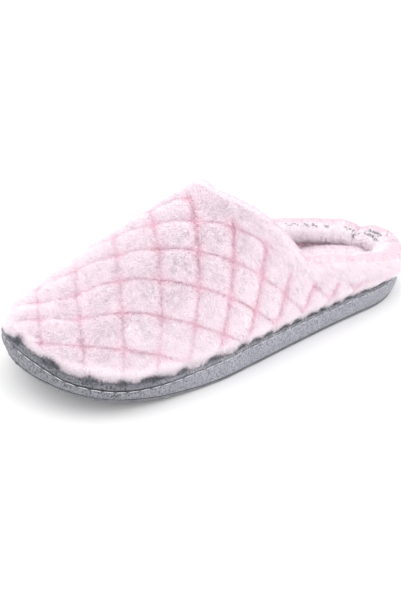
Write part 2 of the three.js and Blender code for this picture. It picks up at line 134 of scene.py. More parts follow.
# Grey turned edge along the seam
RAND_TOE_HEIGHT = 4.2
RAND_HEEL_HEIGHT = 2.2
RAND_RISE_AT = 0.45
RAND_RISE_SHARE = 0.35
RAND_CROWN_SHARE = 0.75
RAND_THICKNESS = 1.8
RAND_PROUD = 0.4

# Padded footbed
INSOLE_THICKNESS = 4.5
INSOLE_TOE_THICKNESS = 2.0
INSOLE_TAPER_AT = 0.8
INSOLE_TAPER_SHARE = 0.16
INSOLE_EDGE = 3.0

# Diamond quilting, in millimetres of cloth
QUILT_PITCH = 23.6
CROSS_SLOPE = 0.5
LONG_SLOPE = 1.0
CROSS_SHARE = 0.6
CROSS_SHARE_HEEL = 0.95
HEEL_SHARE_REACH = 60.0
CROSS_PHASE = 16.0
LONG_PHASE = 14.0
HEEL_TURN = 60.0
BACK_SEAM = 7.0

# Fleece, knit and thread
PILE_TRANSLUCENCY = 0.5
GROUND_SHADE = 0.88
RAND_SHADE = 0.85
TOE_YARN_SHADE = 0.61
TOE_KNIT_FROM = 175.0
TOE_KNIT_REACH = 70.0
COLLAR_PILE_SHARE = 0.72
FOOTBED_LOCKS = 60000
TUFT_COUNT = 11000
TUFT_WIDTH = 0.6
STITCH_PROUD = 0.5
STITCH_DROP = 0.45
STITCH_THICKNESS = 0.52

# Stuffing of the footbed: it is woven thinner by the room that the swelling needs
SWELL_ROOM = 0.8
SWELL_PRESSURE = 4
SWELL_FRAMES = 20
SWELL_SIDEWAYS = 0.3

# Clearances
SEAT_GAP = 0.3
FOOTBED_GAP = 0.8
FOOTBED_TOE_GAP = 3.0
UPPER_TUCK = RAND_THICKNESS - RAND_PROUD + SEAT_GAP

# Fineness of the meshes
FINE = 480
UPPER_PITCH = 1.25
UPPER_ROWS = 88
LINING_ROWS = 20
ROLL_ROWS = 12
SOLE_PITCH = 1.8
RIM_SAMPLES = 180
ARC_SAMPLES = 64

# Outline of the sole: place along the length, how far the width follows the ball, half widths
# as shares of that width's half, sole height, heel lift and toe lift as shares.
SOLE_TABLE = np.array([
    (0.00, 0.0, 0.970, 0.970, 0.880, 1.00, 0.00),
    (0.06, 0.0, 0.985, 0.995, 0.970, 0.33, 0.00),
    (0.15, 0.0, 1.035, 1.000, 0.985, 0.00, 0.00),
    (0.28, 0.1, 1.060, 0.925, 0.970, 0.00, 0.00),
    (0.42, 0.4, 1.050, 0.845, 1.030, 0.00, 0.00),
    (0.55, 0.8, 1.015, 0.865, 1.050, 0.00, 0.00),
    (0.65, 1.0, 1.012, 0.945, 1.000, 0.00, 0.00),
    (0.76, 1.0, 1.010, 0.990, 0.770, 0.00, 0.12),
    (0.87, 1.0, 0.955, 0.945, 0.580, 0.00, 0.42),
    (0.95, 1.0, 0.867, 0.880, 0.610, 0.00, 0.73),
    (1.00, 1.0, 0.750, 0.780, 0.920, 0.00, 1.00),
])

# Ridge: place along the length, height between the toe box and the instep.
RIDGE_TABLE = np.array([
    (0.00, 1.000),
    (0.30, 1.010),
    (0.50, 0.975),
    (0.56, 0.920),
    (0.64, 0.786),
    (0.72, 0.619),
    (0.80, 0.424),
    (0.88, 0.158),
    (0.93, 0.000),
])

# Topline: place along the opening, height between the heel collar and the instep.
TOPLINE_TABLE = np.array([
    (0.000, -0.025),
    (0.190, 0.050),
    (0.420, 0.165),
    (0.600, 0.280),
    (0.710, 0.335),
    (0.760, 0.390),
    (0.810, 0.520),
    (0.913, 0.830),
    (1.009, 0.985),
    (1.094, 1.080),
])

# Side of the sole: share of the height, of the lower tuck and of the bulge.
SOLE_SIDE = ((0.25, 0.8, 0.4), (0.5, 0.35, 1.0), (0.75, 0.1, 0.8))

# Dark strokes in the collar's pile: stations from and to, place across the roll from and to.
FLECK_STROKES = (
    (48.6, 61.0, 0.56, 0.60),
    (30.0, 44.5, 0.57, 0.64),
    (20.8, 25.3, 0.56, 0.62),
    (7.5, 11.0, 0.54, 0.61),
    (5.0, 8.0, 0.62, 0.70),
    (1.5, 5.0, 0.68, 0.76),
    (0.0, 0.6, 0.50, 0.56),
    (0.0, 1.2, 0.60, 0.68),
)

LATERAL = 1
MEDIAL = -1


def mix(a, b, t):
    return a + (b - a) * t


def smooth(t):
    c = np.clip(t, 0, 1)
    return c * c * (3 - 2 * c)


def curve(places, values):
    """A monotone cubic through the values at the places."""
    slope = np.diff(values) / np.diff(places)
    before, after = np.diff(places)[:-1], np.diff(places)[1:]
    w1, w2 = 2 * after + before, after + 2 * before
    rising = slope[:-1] * slope[1:] > 0
    safe = np.where(rising, slope[:-1], 1), np.where(rising, slope[1:], 1)
    inner = np.where(rising, (w1 + w2) / (w1 / safe[0] + w2 / safe[1]), 0)
    tangent = np.concatenate([slope[:1], inner, slope[-1:]])

    def at(s):
        s = np.clip(s, places[0], places[-1])
        i = np.clip(np.searchsorted(places, s) - 1, 0, len(places) - 2)
        h = places[i + 1] - places[i]
        t = (s - places[i]) / h
        start = values[i] + t * t * (3 - 2 * t) * (values[i + 1] - values[i])
        return start + h * t * (1 - t) * ((1 - t) * tangent[i] - t * tangent[i + 1])

    return at


PLACES = SOLE_TABLE[:, 0] * LENGTH
HALF_WIDTHS = mix(HEEL_WIDTH, BALL_WIDTH, SOLE_TABLE[:, 1]) / 2
width_of = {
    LATERAL: curve(PLACES, SOLE_TABLE[:, 2] * HALF_WIDTHS),
    MEDIAL: curve(PLACES, SOLE_TABLE[:, 3] * HALF_WIDTHS),
}
sole_height = curve(PLACES, SOLE_TABLE[:, 4] * SOLE_HEIGHT)
floor_lift = curve(PLACES, SOLE_TABLE[:, 5] * HEEL_LIFT + SOLE_TABLE[:, 6] * TOE_SPRING)
ridge_height = curve(RIDGE_TABLE[:, 0] * LENGTH, mix(TOE_BOX_HEIGHT, INSTEP_HEIGHT, RIDGE_TABLE[:, 1]))
topline_height = curve(
    TOPLINE_TABLE[:, 0] * OPENING_LENGTH,
    mix(HEEL_COLLAR_HEIGHT, INSTEP_HEIGHT, TOPLINE_TABLE[:, 1]),
)


def seam_height(s):
    return floor_lift(s) + sole_height(s)


def ends(s):
    """Rounding of the plan at both ends, 0 at the tips and 1 along the foot."""
    heel = np.maximum(0, 1 - s / HEEL_ROUND)
    toe = np.maximum(0, 1 - (LENGTH - s) / TOE_ROUND)
    heel_part = (1 - heel**HEEL_ROUND_POWER) ** (1 / HEEL_ROUND_POWER)
    toe_part = (1 - toe**TOE_ROUND_POWER) ** (1 / TOE_ROUND_POWER)
    return heel_part * toe_part


def centre(s):
    """The foot's centre line swings to the medial side at the toe."""
    t = np.maximum(0, s / LENGTH - 0.5) / 0.5
    return -TOE_SWING * t * t


def plan(s, side, grow):
    """A point of the plan, grown outwards all round. s runs from the heel, 0, to the toe."""
    x = centre(s) + side * (width_of[side](s) + grow) * ends(s)
    along = s + (s - HALF) / HALF * grow
    return x, along


def point(x, along, z):
    return np.stack(np.broadcast_arrays(x, HALF - along, z), -1)


def outline_shift():
    """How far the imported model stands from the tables' own origin, in millimetres."""
    low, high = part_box("outsole")
    s = np.linspace(0, LENGTH, FINE)
    grow = -SOLE_TUCK - 0.4
    right = plan(s, LATERAL, grow)[0].max()
    left = plan(s, MEDIAL, grow)[0].min()
    return np.array([
        (low.x + high.x) / MM / 2 - (left + right) / 2,
        (low.y + high.y) / MM / 2,
        0.0,
    ])


SHIFT = outline_shift()


def stations(pitch, fixed=()):
    """Stations an equal way apart along the plan, with the given ones among them."""
    walk = LENGTH * (1 - np.cos(np.linspace(0, math.pi, FINE))) / 2
    x, along = plan(walk, LATERAL, 0.0)
    way = np.concatenate([[0], np.cumsum(np.hypot(np.diff(x), np.diff(along)))])
    s = np.interp(np.linspace(0, way[-1], round(way[-1] / pitch) + 1), way, walk)
    fixed = np.array(fixed, float)
    if len(fixed):
        near = np.abs(s[:, None] - fixed[None, :]).min(1) < pitch * 0.35
        near[[0, -1]] = False
        s = s[~near]
    return np.sort(np.concatenate([s, fixed]))


def ridge_place(s):
    """The ridge stops short of both ends, so that the sides fan round the toe and heel."""

    def soft(t):
        return RIDGE_BLEND * np.logaddexp(0, t / RIDGE_BLEND)

    stop = LENGTH - TOE_RIDGE
    return stop - soft(stop - HEEL_RIDGE - soft(s - HEEL_RIDGE))


def toe_cap(s):
    return smooth((s / LENGTH - TOE_CAP_AT) / (1 - TOE_CAP_AT))


def spread(s):
    return mix(UPPER_SPREAD, TOE_SPREAD, toe_cap(s))


def rand_height(s):
    return mix(RAND_HEEL_HEIGHT, RAND_TOE_HEIGHT, smooth((s / LENGTH - RAND_RISE_AT) / RAND_RISE_SHARE))


def section(s, side, angle, grow, under):
    """A point of a skin of the upper, at an angle up the section of one station."""
    foot_x, foot_along = plan(s, side, grow)
    along = ridge_place(s)
    base = seam_height(s) + SEAT_GAP
    fullness = mix(SIDE_FULLNESS, TOE_FULLNESS, toe_cap(s))
    reach = np.clip(np.cos(angle), 0, 1) ** (2 / fullness)
    rise = np.clip(np.sin(angle), 0, 1) ** (2 / CROWN_FULLNESS)
    z = base + (ridge_height(along) - under - base) * rise
    return point(mix(centre(along), foot_x, reach), mix(along, foot_along, reach), z)


def full_height(s):
    return ridge_height(ridge_place(s)) - seam_height(s) - SEAT_GAP


def angle_at_height(s, height):
    return np.arcsin(np.clip(height / full_height(s), 0, 1) ** (CROWN_FULLNESS / 2))


def pad_share(s):
    """Padding is thickest at the back of the heel and thins out along the opening."""
    return np.maximum(0, 1 - s / HEEL_PAD_LENGTH) ** 2


def wall_at(s):
    return mix(WALL, HEEL_WALL, pad_share(s))


def roll_at(s):
    return mix(COLLAR_ROLL, HEEL_ROLL, pad_share(s))


def heel_dip(s, side):
    """The topline dips on both sides of the pillow at the back of the heel."""
    away = (width_of[side](s) * ends(s) - HEEL_DIP_PLACE) / HEEL_DIP_WIDTH
    return HEEL_DIP * np.exp(-away * away)


def wall_end(along, side):
    """Height at which the wall ends below the crest of the rolled collar."""
    slope = (topline_height(along + 2) - topline_height(along - 2)) / 4
    place = along / OPENING_LENGTH
    low = MEDIAL_DROP * smooth(place / 0.12) * smooth((0.95 - place) / 0.3) if side == MEDIAL else 0
    return topline_height(along) - low - ROLL_CROWN * np.hypot(1, np.minimum(slope, 1))


def open_angle(s, side):
    """Angle at which a section meets the topline, or a right angle where it closes."""

    def over(angle):
        p = section(s, side, angle, spread(s), 0.0)
        return p[..., 2] - wall_end(HALF - p[..., 1], side) + heel_dip(s, side)

    low = np.zeros_like(s)
    high = np.full_like(s, math.pi / 2)
    closed = over(high) <= 0
    for _ in range(40):
        middle = (low + high) / 2
        above = over(middle) > 0
        high = np.where(above, middle, high)
        low = np.where(above, low, middle)
    return np.where(closed, math.pi / 2, high)


def throat_station():
    """Station where the topline crosses the ridge, at the middle of the throat."""
    low, high = 0.0, LENGTH - TOE_RIDGE
    for _ in range(40):
        middle = (low + high) / 2
        along = ridge_place(middle)
        if ridge_height(along) > wall_end(along, LATERAL):
            low = middle
        else:
            high = middle
    return high


THROAT = throat_station()


def rim_line(side):
    """The topline on one side, from the heel to the middle of the throat."""
    s = THROAT * np.sin(np.linspace(0, math.pi / 2, RIM_SAMPLES))
    return section(s, side, open_angle(s, side), spread(s), 0.0)


RIM = {side: rim_line(side) for side in (LATERAL, MEDIAL)}


def rim_distance(points, side):
    """Distance of each point from the topline."""
    flat = points.reshape(-1, 3)
    away = np.full(len(flat), np.inf)
    for place in RIM[side]:
        away = np.minimum(away, np.sum((flat - place) ** 2, 1))
    return np.sqrt(away).reshape(points.shape[:-1])


def cloth(s, side, angles):
    """Cloth coordinates along the shoe and across it, unrolled, for each station and angle."""
    ladder = np.linspace(0, math.pi / 2, ARC_SAMPLES)

    def arcs(station):
        p = section(station, side, ladder, spread(station), 0.0)
        d = np.diff(p, axis=0)
        steep = np.hypot(1, d[:, 2] / np.maximum(np.hypot(d[:, 0], d[:, 1]), 1e-9))
        return d, -d[:, 0] * steep, d[:, 1] * steep

    along = np.zeros_like(angles)
    across = np.zeros_like(angles)
    whole = arcs(HEEL_TURN)[1].sum()
    for i, station in enumerate(s):
        d, sideways, forward = arcs(station)
        if station >= HEEL_TURN:
            to_ridge = np.concatenate([np.cumsum(sideways[::-1])[::-1], [0]])
            ahead = np.concatenate([np.cumsum(forward[::-1])[::-1], [0]])
            across[i] = np.interp(angles[i], ladder, to_ridge)
            along[i] = ridge_place(station) + np.interp(angles[i], ladder, ahead)
            continue
        climb = np.concatenate([[0], np.cumsum(np.linalg.norm(d, axis=1))])
        x, place = plan(np.linspace(station, HEEL_TURN, 25), side, 0.0)
        along[i] = HEEL_TURN - np.hypot(np.diff(x), np.diff(place)).sum()
        across[i] = whole - side * np.interp(angles[i], ladder, climb)
    return along, across


def waves(points, pitch, seed, count=7):
    """A smooth random field, about -1 to 1, whose ripples are about pitch apart."""
    rng = np.random.default_rng(seed)
    total = np.zeros(points.shape[:-1])
    for _ in range(count):
        way = rng.normal(size=3)
        way *= rng.uniform(0.7, 1.4) * 2 * math.pi / pitch / np.linalg.norm(way)
        total += np.cos(points @ way + rng.uniform(0, 2 * math.pi))
    return total / math.sqrt(count)


def quilt_phases(along, across):
    """Both families of sewn lines, as counts of lines: a whole number lies on a line."""
    first = (along - CROSS_SLOPE * across - CROSS_PHASE) / QUILT_PITCH
    second = (along + LONG_SLOPE * across - LONG_PHASE) / QUILT_PITCH
    return first, second


def quilting(along, across, softness):
    """How deep the sewn channels lie: 0 on the pillows and 1 in the channels."""
    first, second = (np.abs(np.sin(math.pi * phase)) for phase in quilt_phases(along, across))
    share = mix(CROSS_SHARE_HEEL, CROSS_SHARE, smooth((along - THROAT) / HEEL_SHARE_REACH))
    crossing = share * (1 - first ** (2 * softness))
    return 1 - (1 - crossing) * second**softness


def sewn_at_foot(s, side):
    """Teeth of the turned edge: it stands up where a sewn line ends and slopes off to the heel."""
    along, across = cloth(s, side, np.zeros((len(s), 1)))
    teeth = []
    for phase in quilt_phases(along[:, 0], across[:, 0]):
        past = phase - np.floor(phase)
        teeth.append(np.maximum(smooth((past - 0.6) / 0.4), 1 - smooth(past / 0.06)))
    return np.maximum(*teeth)


def linear(hex_colour):
    """An sRGB hex value as linear red, green and blue."""
    parts = [int(hex_colour[i : i + 2], 16) / 255 for i in (0, 2, 4)]
    return tuple(c / 12.92 if c <= 0.04045 else ((c + 0.055) / 1.055) ** 2.4 for c in parts)


def colour_property(name, description, hex_colour):
    return FloatVectorProperty(
        name=name, description=description, subtype="COLOR", min=0, max=1, default=linear(hex_colour)
    )


def size_property(name, description, size, least):
    return FloatProperty(name=name, description=description, default=size, min=least)


class SlipperSizes(bpy.types.PropertyGroup):
    """Sizes of the soft detail, in millimetres."""

    quilt_depth: size_property("Quilt depth", "Depth of the sewn channels", 1.9, 0)
    quilt_softness: size_property("Quilt softness", "Low is a flat pillow with a narrow channel", 0.35, 0.1)
    pile_length: size_property("Pile length", "Length of the fleece's pile", 2.0, 0.5)
    pile_width: size_property("Pile width", "Width of one lock of pile", 0.4, 0.05)
    pile_count: IntProperty(
        name="Locks a side", description="Locks of pile on each side", default=190000, min=100
    )
    tuft_length: size_property("Tuft length", "Length of the grey tufts", 2.4, 0.2)
    stitch_length: size_property("Stitch length", "Length of a seam stitch", 5.6, 1)
    stitch_gap: size_property("Stitch gap", "Gap between two stitches", 1.0, 0.2)
    pad_swell: size_property("Footbed swell", "Most that the footbed swells", 1.4, 0)


class SlipperColours(bpy.types.PropertyGroup):
    """Colours of the cloths, thread and rubber."""

    fleece: colour_property("Fleece", "Tips of the pink pile", "FFFDFF")
    # The fleece's own pink, deepened as painted shade at the roots of the pile and in the sewn channels
    fleece_root_shade: colour_property("Fleece root", "Roots of the pink pile, seen in the channels", "F6D2DF")
    fleece_glow: colour_property("Fleece glow", "Pink of the light that passes through the pile", "FFFAFC")
    # Painted shade: a duller, darker pile colour for the crown of the collar's roll, which faces the light
    crown: colour_property("Crown", "Duller pile on the crown of the collar", "EDDCE4")
    fleck: colour_property("Fleck", "Dark flecks in the pile of the collar", "6E6E74")
    knit: colour_property("Knit", "Middle grey of the heather knit", "9B9BA4")
    knit_dark: colour_property("Knit dark", "Dark yarn of the heather knit", "6A6A74")
    knit_light: colour_property("Knit light", "Light yarn of the heather knit", "B2B2BB")
    tuft: colour_property("Tufts", "Grey tufts over the seam", "868690")
    thread: colour_property("Thread", "Seam thread", "DADAE0")
    # Partly painted shade: the rubber is darkened to give the dark line along the bottom edge
    rubber: colour_property("Rubber", "Moulded outsole", "6C6C74")
    floor: colour_property("Floor", "Studio floor", "F6F6F6")


def weave(bm, points, values=None):
    """Adds a grid to a bmesh with its corners at the given points, in millimetres.

    values holds one array for each named float layer of the corners.
    """
    n, m = points.shape[:2]
    bmesh.ops.create_grid(bm, x_segments=n - 1, y_segments=m - 1, size=1)
    known = bm.verts.layers.float
    layers = {name: known.get(name) or known.new(name) for name in values or {}}
    placed = (points + SHIFT) * MM
    grid = {}
    for vert in [v for v in bm.verts if v.tag is False]:
        i = round((vert.co.x + 1) / 2 * (n - 1))
        j = round((vert.co.y + 1) / 2 * (m - 1))
        grid[i, j] = vert
        for name, layer in layers.items():
            vert[layer] = values[name][i, j]
    for (i, j), vert in grid.items():
        vert.co = placed[i, j]
        vert.tag = True
    return grid


def finish_piece(name, bm, materials, merge=0.00002):
    """Closes a bmesh into a smooth piece that rides on the slipper.

    Recalculated normals can still point inwards, and a negative volume shows it.
    """
    bmesh.ops.remove_doubles(bm, verts=bm.verts, dist=merge)
    bmesh.ops.dissolve_degenerate(bm, edges=bm.edges, dist=merge / 2)
    bmesh.ops.recalc_face_normals(bm, faces=bm.faces)
    if bm.calc_volume(signed=True) < 0:
        bmesh.ops.reverse_faces(bm, faces=bm.faces)
    mesh = bpy.data.meshes.new(name)
    bm.to_mesh(mesh)
    bm.free()
    mesh.polygons.foreach_set("use_smooth", [True] * len(mesh.polygons))
    for material in materials:
        mesh.materials.append(material)
    piece = bpy.data.objects.new(name, mesh)
    bpy.context.scene.collection.objects.link(piece)
    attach(piece, "root")
    return piece


def upper_rows(s, side, sizes):
    """Outer and inner skins of the upper, with the depth, height and rim distance of each point."""
    end = open_angle(s, side)
    is_open = end < math.pi / 2 - 1e-6
    tuck = rand_height(s) + SEAT_GAP
    end_height = full_height(s) * np.sin(end) ** (2 / CROWN_FULLNESS)
    foot = np.minimum(tuck, end_height * 0.6)
    swell_height = np.minimum(SWELL_HEIGHT, (end_height - foot) * SWELL_SHARE)
    lean = HEEL_LEAN * smooth(1 - ridge_place(s) / (OPENING_LENGTH * 0.55))
    first = angle_at_height(s, foot)

    def skins(count):
        share = np.linspace(0, 1, count)[None, :]
        climb = mix(first[:, None], end[:, None], share)
        angle = np.concatenate([np.zeros((len(s), 1)), climb], 1)
        station = s[:, None]
        height = full_height(station) * np.sin(angle) ** (2 / CROWN_FULLNESS)
        swell = smooth((height - foot[:, None]) / swell_height[:, None])
        up = angle / end[:, None]
        grow = mix(-UPPER_TUCK, spread(station), swell) - lean[:, None] * up**3
        to_rim = rim_distance(section(station, side, angle, spread(station), 0.0), side)
        above = np.where(
            is_open[:, None], smooth((height - tuck[:, None]) / (end_height - tuck)[:, None]), 1.0
        )
        roll = smooth(1 - to_rim / ROLL_BAND) * above
        wall = mix(wall_at(station), roll_at(station), roll)
        outward = (roll_at(station) - wall_at(station)) * 0.25 * roll
        outer = section(station, side, angle, grow + outward, -outward)
        inner = section(station, side, angle, grow + outward - wall, wall - outward)
        return angle, height, swell, to_rim, outer, inner

    angle, height, swell, to_rim, outer, inner = skins(UPPER_ROWS)
    along, across = cloth(s, side, angle)
    fade = smooth((s[:, None] - BACK_SEAM * 0.2) / BACK_SEAM)
    fade = fade * swell * smooth((to_rim - COLLAR_ROLL * 0.2) / (COLLAR_ROLL * 0.7))
    depth = quilting(along, across, sizes.quilt_softness) * fade
    out = outer - inner
    out /= np.linalg.norm(out, axis=-1, keepdims=True)
    puff = 0.7 * (1 - depth) * fade
    lumps = waves(outer, 13.0, 5) * 0.14 + waves(outer, 4.5, 6) * 0.07
    outer = outer + out * (puff - sizes.quilt_depth * depth + lumps * swell)[..., None]
    lining = skins(LINING_ROWS)
    return {
        "outer": outer,
        "depth": depth,
        "sewn": sewn_at_foot(s, side),
        "height": height,
        "rim": to_rim,
        "inner": lining[5],
        "inner_height": lining[1],
        "inner_rim": lining[3],
    }


def collar_roll(lateral, medial, last):
    """Rolled edge between the two skins all round the opening, one loop for each step."""

    def edge(skin):
        return np.concatenate([lateral[skin][: last + 1, -1], medial[skin][1:last, -1][::-1]])

    outer, inner = edge("outer"), edge("inner")
    middle = (outer + inner) / 2
    travel = np.roll(middle, -1, 0) - np.roll(middle, 1, 0)
    across = outer - inner
    away = np.cross(travel, across)
    away /= np.linalg.norm(away, axis=1, keepdims=True)
    plump = ROLL_CROWN + waves(middle, 22.0, 9)[:, None] * 0.4

    def fuller(t):
        return math.copysign(abs(t) ** (2 / ROLL_FULLNESS), t)

    loops = []
    for step in range(1, ROLL_ROWS):
        turn = math.pi * step / ROLL_ROWS
        loops.append(middle + across * fuller(math.cos(turn)) / 2 + away * fuller(math.sin(turn)) * plump)
    return np.stack(loops, 1)


def fleece_form(sizes):
    """The upper's grids, one for each side, as points and their layers."""
    near = [THROAT - back for back in (0.15, 0.5, 1.1, 1.9, 2.9, 4.2)]
    s = stations(UPPER_PITCH, [*near, THROAT])
    last = int(np.argmin(np.abs(s - THROAT)))
    sides = {side: upper_rows(s, side, sizes) for side in (LATERAL, MEDIAL)}
    loops = collar_roll(sides[LATERAL], sides[MEDIAL], last)
    forms = {}
    for side, rows in sides.items():
        n = len(s)
        roll = np.zeros((n, ROLL_ROWS - 1, 3))
        if side == LATERAL:
            roll[: last + 1] = loops[: last + 1]
        else:
            roll[last] = loops[last]
            roll[0] = loops[0]
            roll[1:last] = loops[last + 1 :][::-1]
        points = np.concatenate([rows["outer"], roll, rows["inner"][:, ::-1], rows["outer"][:, :1]], 1)

        def layer(outer, rolled, inner, closing):
            middle = np.broadcast_to(rolled, (n, ROLL_ROWS - 1))
            return np.concatenate([outer, middle, inner[:, ::-1], closing], 1)

        zeros = np.zeros_like(rows["inner_height"])
        steps = np.linspace(0, 1, ROLL_ROWS + 1)[1:-1][None, :]
        values = {
            "channel": layer(rows["depth"], 0.0, zeros, rows["depth"][:, :1]),
            "rise": layer(rows["height"], 99.0, rows["inner_height"], rows["height"][:, :1]),
            "rim": layer(rows["rim"], 0.0, rows["inner_rim"], rows["rim"][:, :1]),
            "inside": layer(np.zeros_like(rows["depth"]), steps, zeros + 1, zeros[:, :1]),
            "sewn": np.broadcast_to(rows["sewn"][:, None], points.shape[:2]),
            "medial": np.full(points.shape[:2], 1.0 if side == MEDIAL else 0.0),
            "station": np.broadcast_to(s[:, None], points.shape[:2]),
        }
        forms[side] = points, values
    return forms, last


def node(tree, kind, settings=None, values=None, links=None):
    """Adds a node with its settings, socket values and links."""
    made = tree.nodes.new(kind)
    for name, value in (settings or {}).items():
        setattr(made, name, value)
    for name, value in (values or {}).items():
        made.inputs[name].default_value = value
    for name, source in (links or {}).items():
        tree.links.new(source, made.inputs[name])
    return made


def material(name, roughness, sheen=0.0, sheen_roughness=0.5, specular=0.3):
    """A new material with its shader, whose constants sit on the shader's own sockets."""
    made = bpy.data.materials.new(name)
    made.use_nodes = True
    tree = made.node_tree
    shader = tree.nodes["Principled BSDF"]
    shader.inputs["Roughness"].default_value = roughness
    shader.inputs["Sheen Weight"].default_value = sheen
    shader.inputs["Sheen Roughness"].default_value = sheen_roughness
    shader.inputs["Specular IOR Level"].default_value = specular
    return made, tree, shader


def ramp(tree, factor, stops):
    """A colour ramp with the given stops of place and colour."""
    made = node(tree, "ShaderNodeValToRGB", links={"Fac": factor})
    elements = made.color_ramp.elements
    while len(elements) < len(stops):
        elements.new(0.5)
    for element, (place, colour) in zip(elements, stops):
        element.position = place
        element.color = (*colour, 1)
    return made.outputs["Color"]


def grain(tree, size_mm, detail=2.0, stretch=(1, 1, 1), roughness=0.5):
    """Noise on the piece's own coordinates, with features about size_mm across."""
    place = node(tree, "ShaderNodeTexCoord").outputs["Object"]
    turned = node(tree, "ShaderNodeMapping", values={"Scale": stretch}, links={"Vector": place})
    values = {"Scale": 1 / (size_mm * MM), "Detail": detail, "Roughness": roughness}
    made = node(tree, "ShaderNodeTexNoise", values=values, links={"Vector": turned.outputs["Vector"]})
    return made.outputs["Fac"]


def bump(tree, shader, height, depth_mm):
    values = {"Strength": 0.6, "Distance": depth_mm * MM}
    made = node(tree, "ShaderNodeBump", values=values, links={"Height": height})
    tree.links.new(made.outputs["Normal"], shader.inputs["Normal"])


def attribute(tree, name):
    return node(tree, "ShaderNodeAttribute", {"attribute_name": name}).outputs["Fac"]


def blend_colour(tree, factor, first, second):
    """Mixes two colours, each a socket or a plain colour, by a factor."""
    made = node(tree, "ShaderNodeMix", {"data_type": "RGBA"}, links={"Factor": factor})
    for socket, colour in ((made.inputs[6], first), (made.inputs[7], second)):
        if isinstance(colour, bpy.types.NodeSocket):
            tree.links.new(colour, socket)
        else:
            socket.default_value = (*colour, 1)
    return made.outputs[2]


def mixed(first, second, share):
    return tuple(mix(a, b, share) for a, b in zip(first, second))


def dimmed(colour, share):
    return tuple(c * share for c in colour)


def fleece_ground(colours, name="coral_fleece_ground", shade=1.0):
    """Coral fleece, knitted ground: polyester plush that looks matt, with painted shade of deeper pink where
    it is sewn down."""
    made, tree, shader = material(name, 0.95, sheen=0.2)
    root, tip = dimmed(colours.fleece_root_shade, shade), dimmed(colours.fleece, shade)
    # Painted shade: deeper pink in the sewn channels
    stops = [(0.1, mixed(root, tip, 0.9)), (0.8, mixed(root, tip, 0.5))]
    tree.links.new(ramp(tree, attribute(tree, "channel"), stops), shader.inputs["Base Color"])
    bump(tree, shader, grain(tree, 1.1, 3.0), 0.8)
    return made


def fleece_pile(colours, name="coral_fleece_pile"):
    """Coral fleece, cut pile: light passes through its fine fibres, so it looks soft. Its tint is pale at
    the tips, with painted shade of deeper pink at the roots and where the locks part."""
    made, tree, shader = material(name, 0.9, sheen=0.2, specular=0.1)
    root, tip = tuple(colours.fleece_root_shade), tuple(colours.fleece)
    # Painted shade: the tint runs to deeper pink at the roots and in the channels
    tint = ramp(tree, attribute(tree, "tint"), [(0.0, root), (0.5, mixed(root, tip, 0.7)), (1.0, tip)])
    # Painted shade: the crown colour darkens the pile on the collar's crown, which faces the light
    painted_shade = blend_colour(tree, attribute(tree, "painted_shade"), tint, tuple(colours.crown))
    flecked = blend_colour(tree, attribute(tree, "fleck"), painted_shade, tuple(colours.fleck))
    tree.links.new(flecked, shader.inputs["Base Color"])
    glow = node(tree, "ShaderNodeMix", {"data_type": "RGBA", "blend_type": "MULTIPLY"}, {"Factor": 1.0})
    tree.links.new(flecked, glow.inputs[6])
    glow.inputs[7].default_value = (*colours.fleece_glow, 1)
    through = node(tree, "ShaderNodeBsdfTranslucent", links={"Color": glow.outputs[2]})
    both = node(tree, "ShaderNodeMixShader", values={"Fac": PILE_TRANSLUCENCY})
    tree.links.new(shader.outputs["BSDF"], both.inputs[1])
    tree.links.new(through.outputs["BSDF"], both.inputs[2])
    tree.links.new(both.outputs["Shader"], tree.nodes["Material Output"].inputs["Surface"])
    return made


def heather_knit(colours, name="heather_knit", shade=1.0):
    """Melange jersey over foam: yarns of three greys twisted together, which read as short slanted flecks,
    darker and coarser round the toe. Painted shade darkens the groove along the seam."""
    made, tree, shader = material(name, 0.9, sheen=0.15)
    fleck = grain(tree, 1.0, 2.0, (1, 1.1, 0.75), 0.6)

    def yarns(shade):
        return (dimmed(yarn, shade) for yarn in (colours.knit_light, colours.knit, colours.knit_dark))

    light, middle, dark = yarns(shade)
    side = ramp(tree, fleck, [(0.36, dark), (0.47, middle), (0.55, middle), (0.66, light)])
    light, middle, dark = yarns(shade * TOE_YARN_SHADE)
    toe = ramp(tree, fleck, [(0.4, dimmed(dark, 0.55)), (0.46, middle), (0.53, middle), (0.6, light)])
    patches = ramp(tree, grain(tree, 7.0, 2.0), [(0.35, (0, 0, 0)), (0.65, (0.25,) * 3)])
    shaded = blend_colour(tree, patches, blend_colour(tree, attribute(tree, "toe"), side, toe), middle)
    # Painted shade in the groove along the seam
    seam_shade = blend_colour(tree, attribute(tree, "seam_shade"), shaded, dimmed(colours.knit_dark, 0.3))
    tree.links.new(seam_shade, shader.inputs["Base Color"])
    bump(tree, shader, fleck, 0.35)
    return made


def toe_shade(s):
    """How far the knit turns darker and coarser towards the toe."""
    return smooth((s - TOE_KNIT_FROM) / TOE_KNIT_REACH)


def knit_tufts(colours):
    """Brushed ends of the heather yarn: matt, each tuft of one of its greys."""
    made, tree, shader = material("brushed_knit_tufts", 0.95, sheen=0.1)
    stops = [(0.0, dimmed(colours.tuft, 0.65)), (0.45, tuple(colours.tuft)), (1.0, tuple(colours.knit))]
    tree.links.new(ramp(tree, attribute(tree, "tint"), stops), shader.inputs["Base Color"])
    return made


def seam_thread(colours):
    """Spun polyester thread: pale grey, with the twist of its plies."""
    made, tree, shader = material("spun_polyester_thread", 0.6, specular=0.4)
    twist = node(tree, "ShaderNodeTexCoord").outputs["Object"]
    wave = node(tree, "ShaderNodeTexWave", {"bands_direction": "DIAGONAL"},
                {"Scale": 1 / (1.6 * MM), "Distortion": 1.0}, {"Vector": twist})
    colour = ramp(tree, wave.outputs["Fac"], [(0.0, dimmed(colours.thread, 0.7)), (0.6, colours.thread)])
    tree.links.new(colour, shader.inputs["Base Color"])
    return made


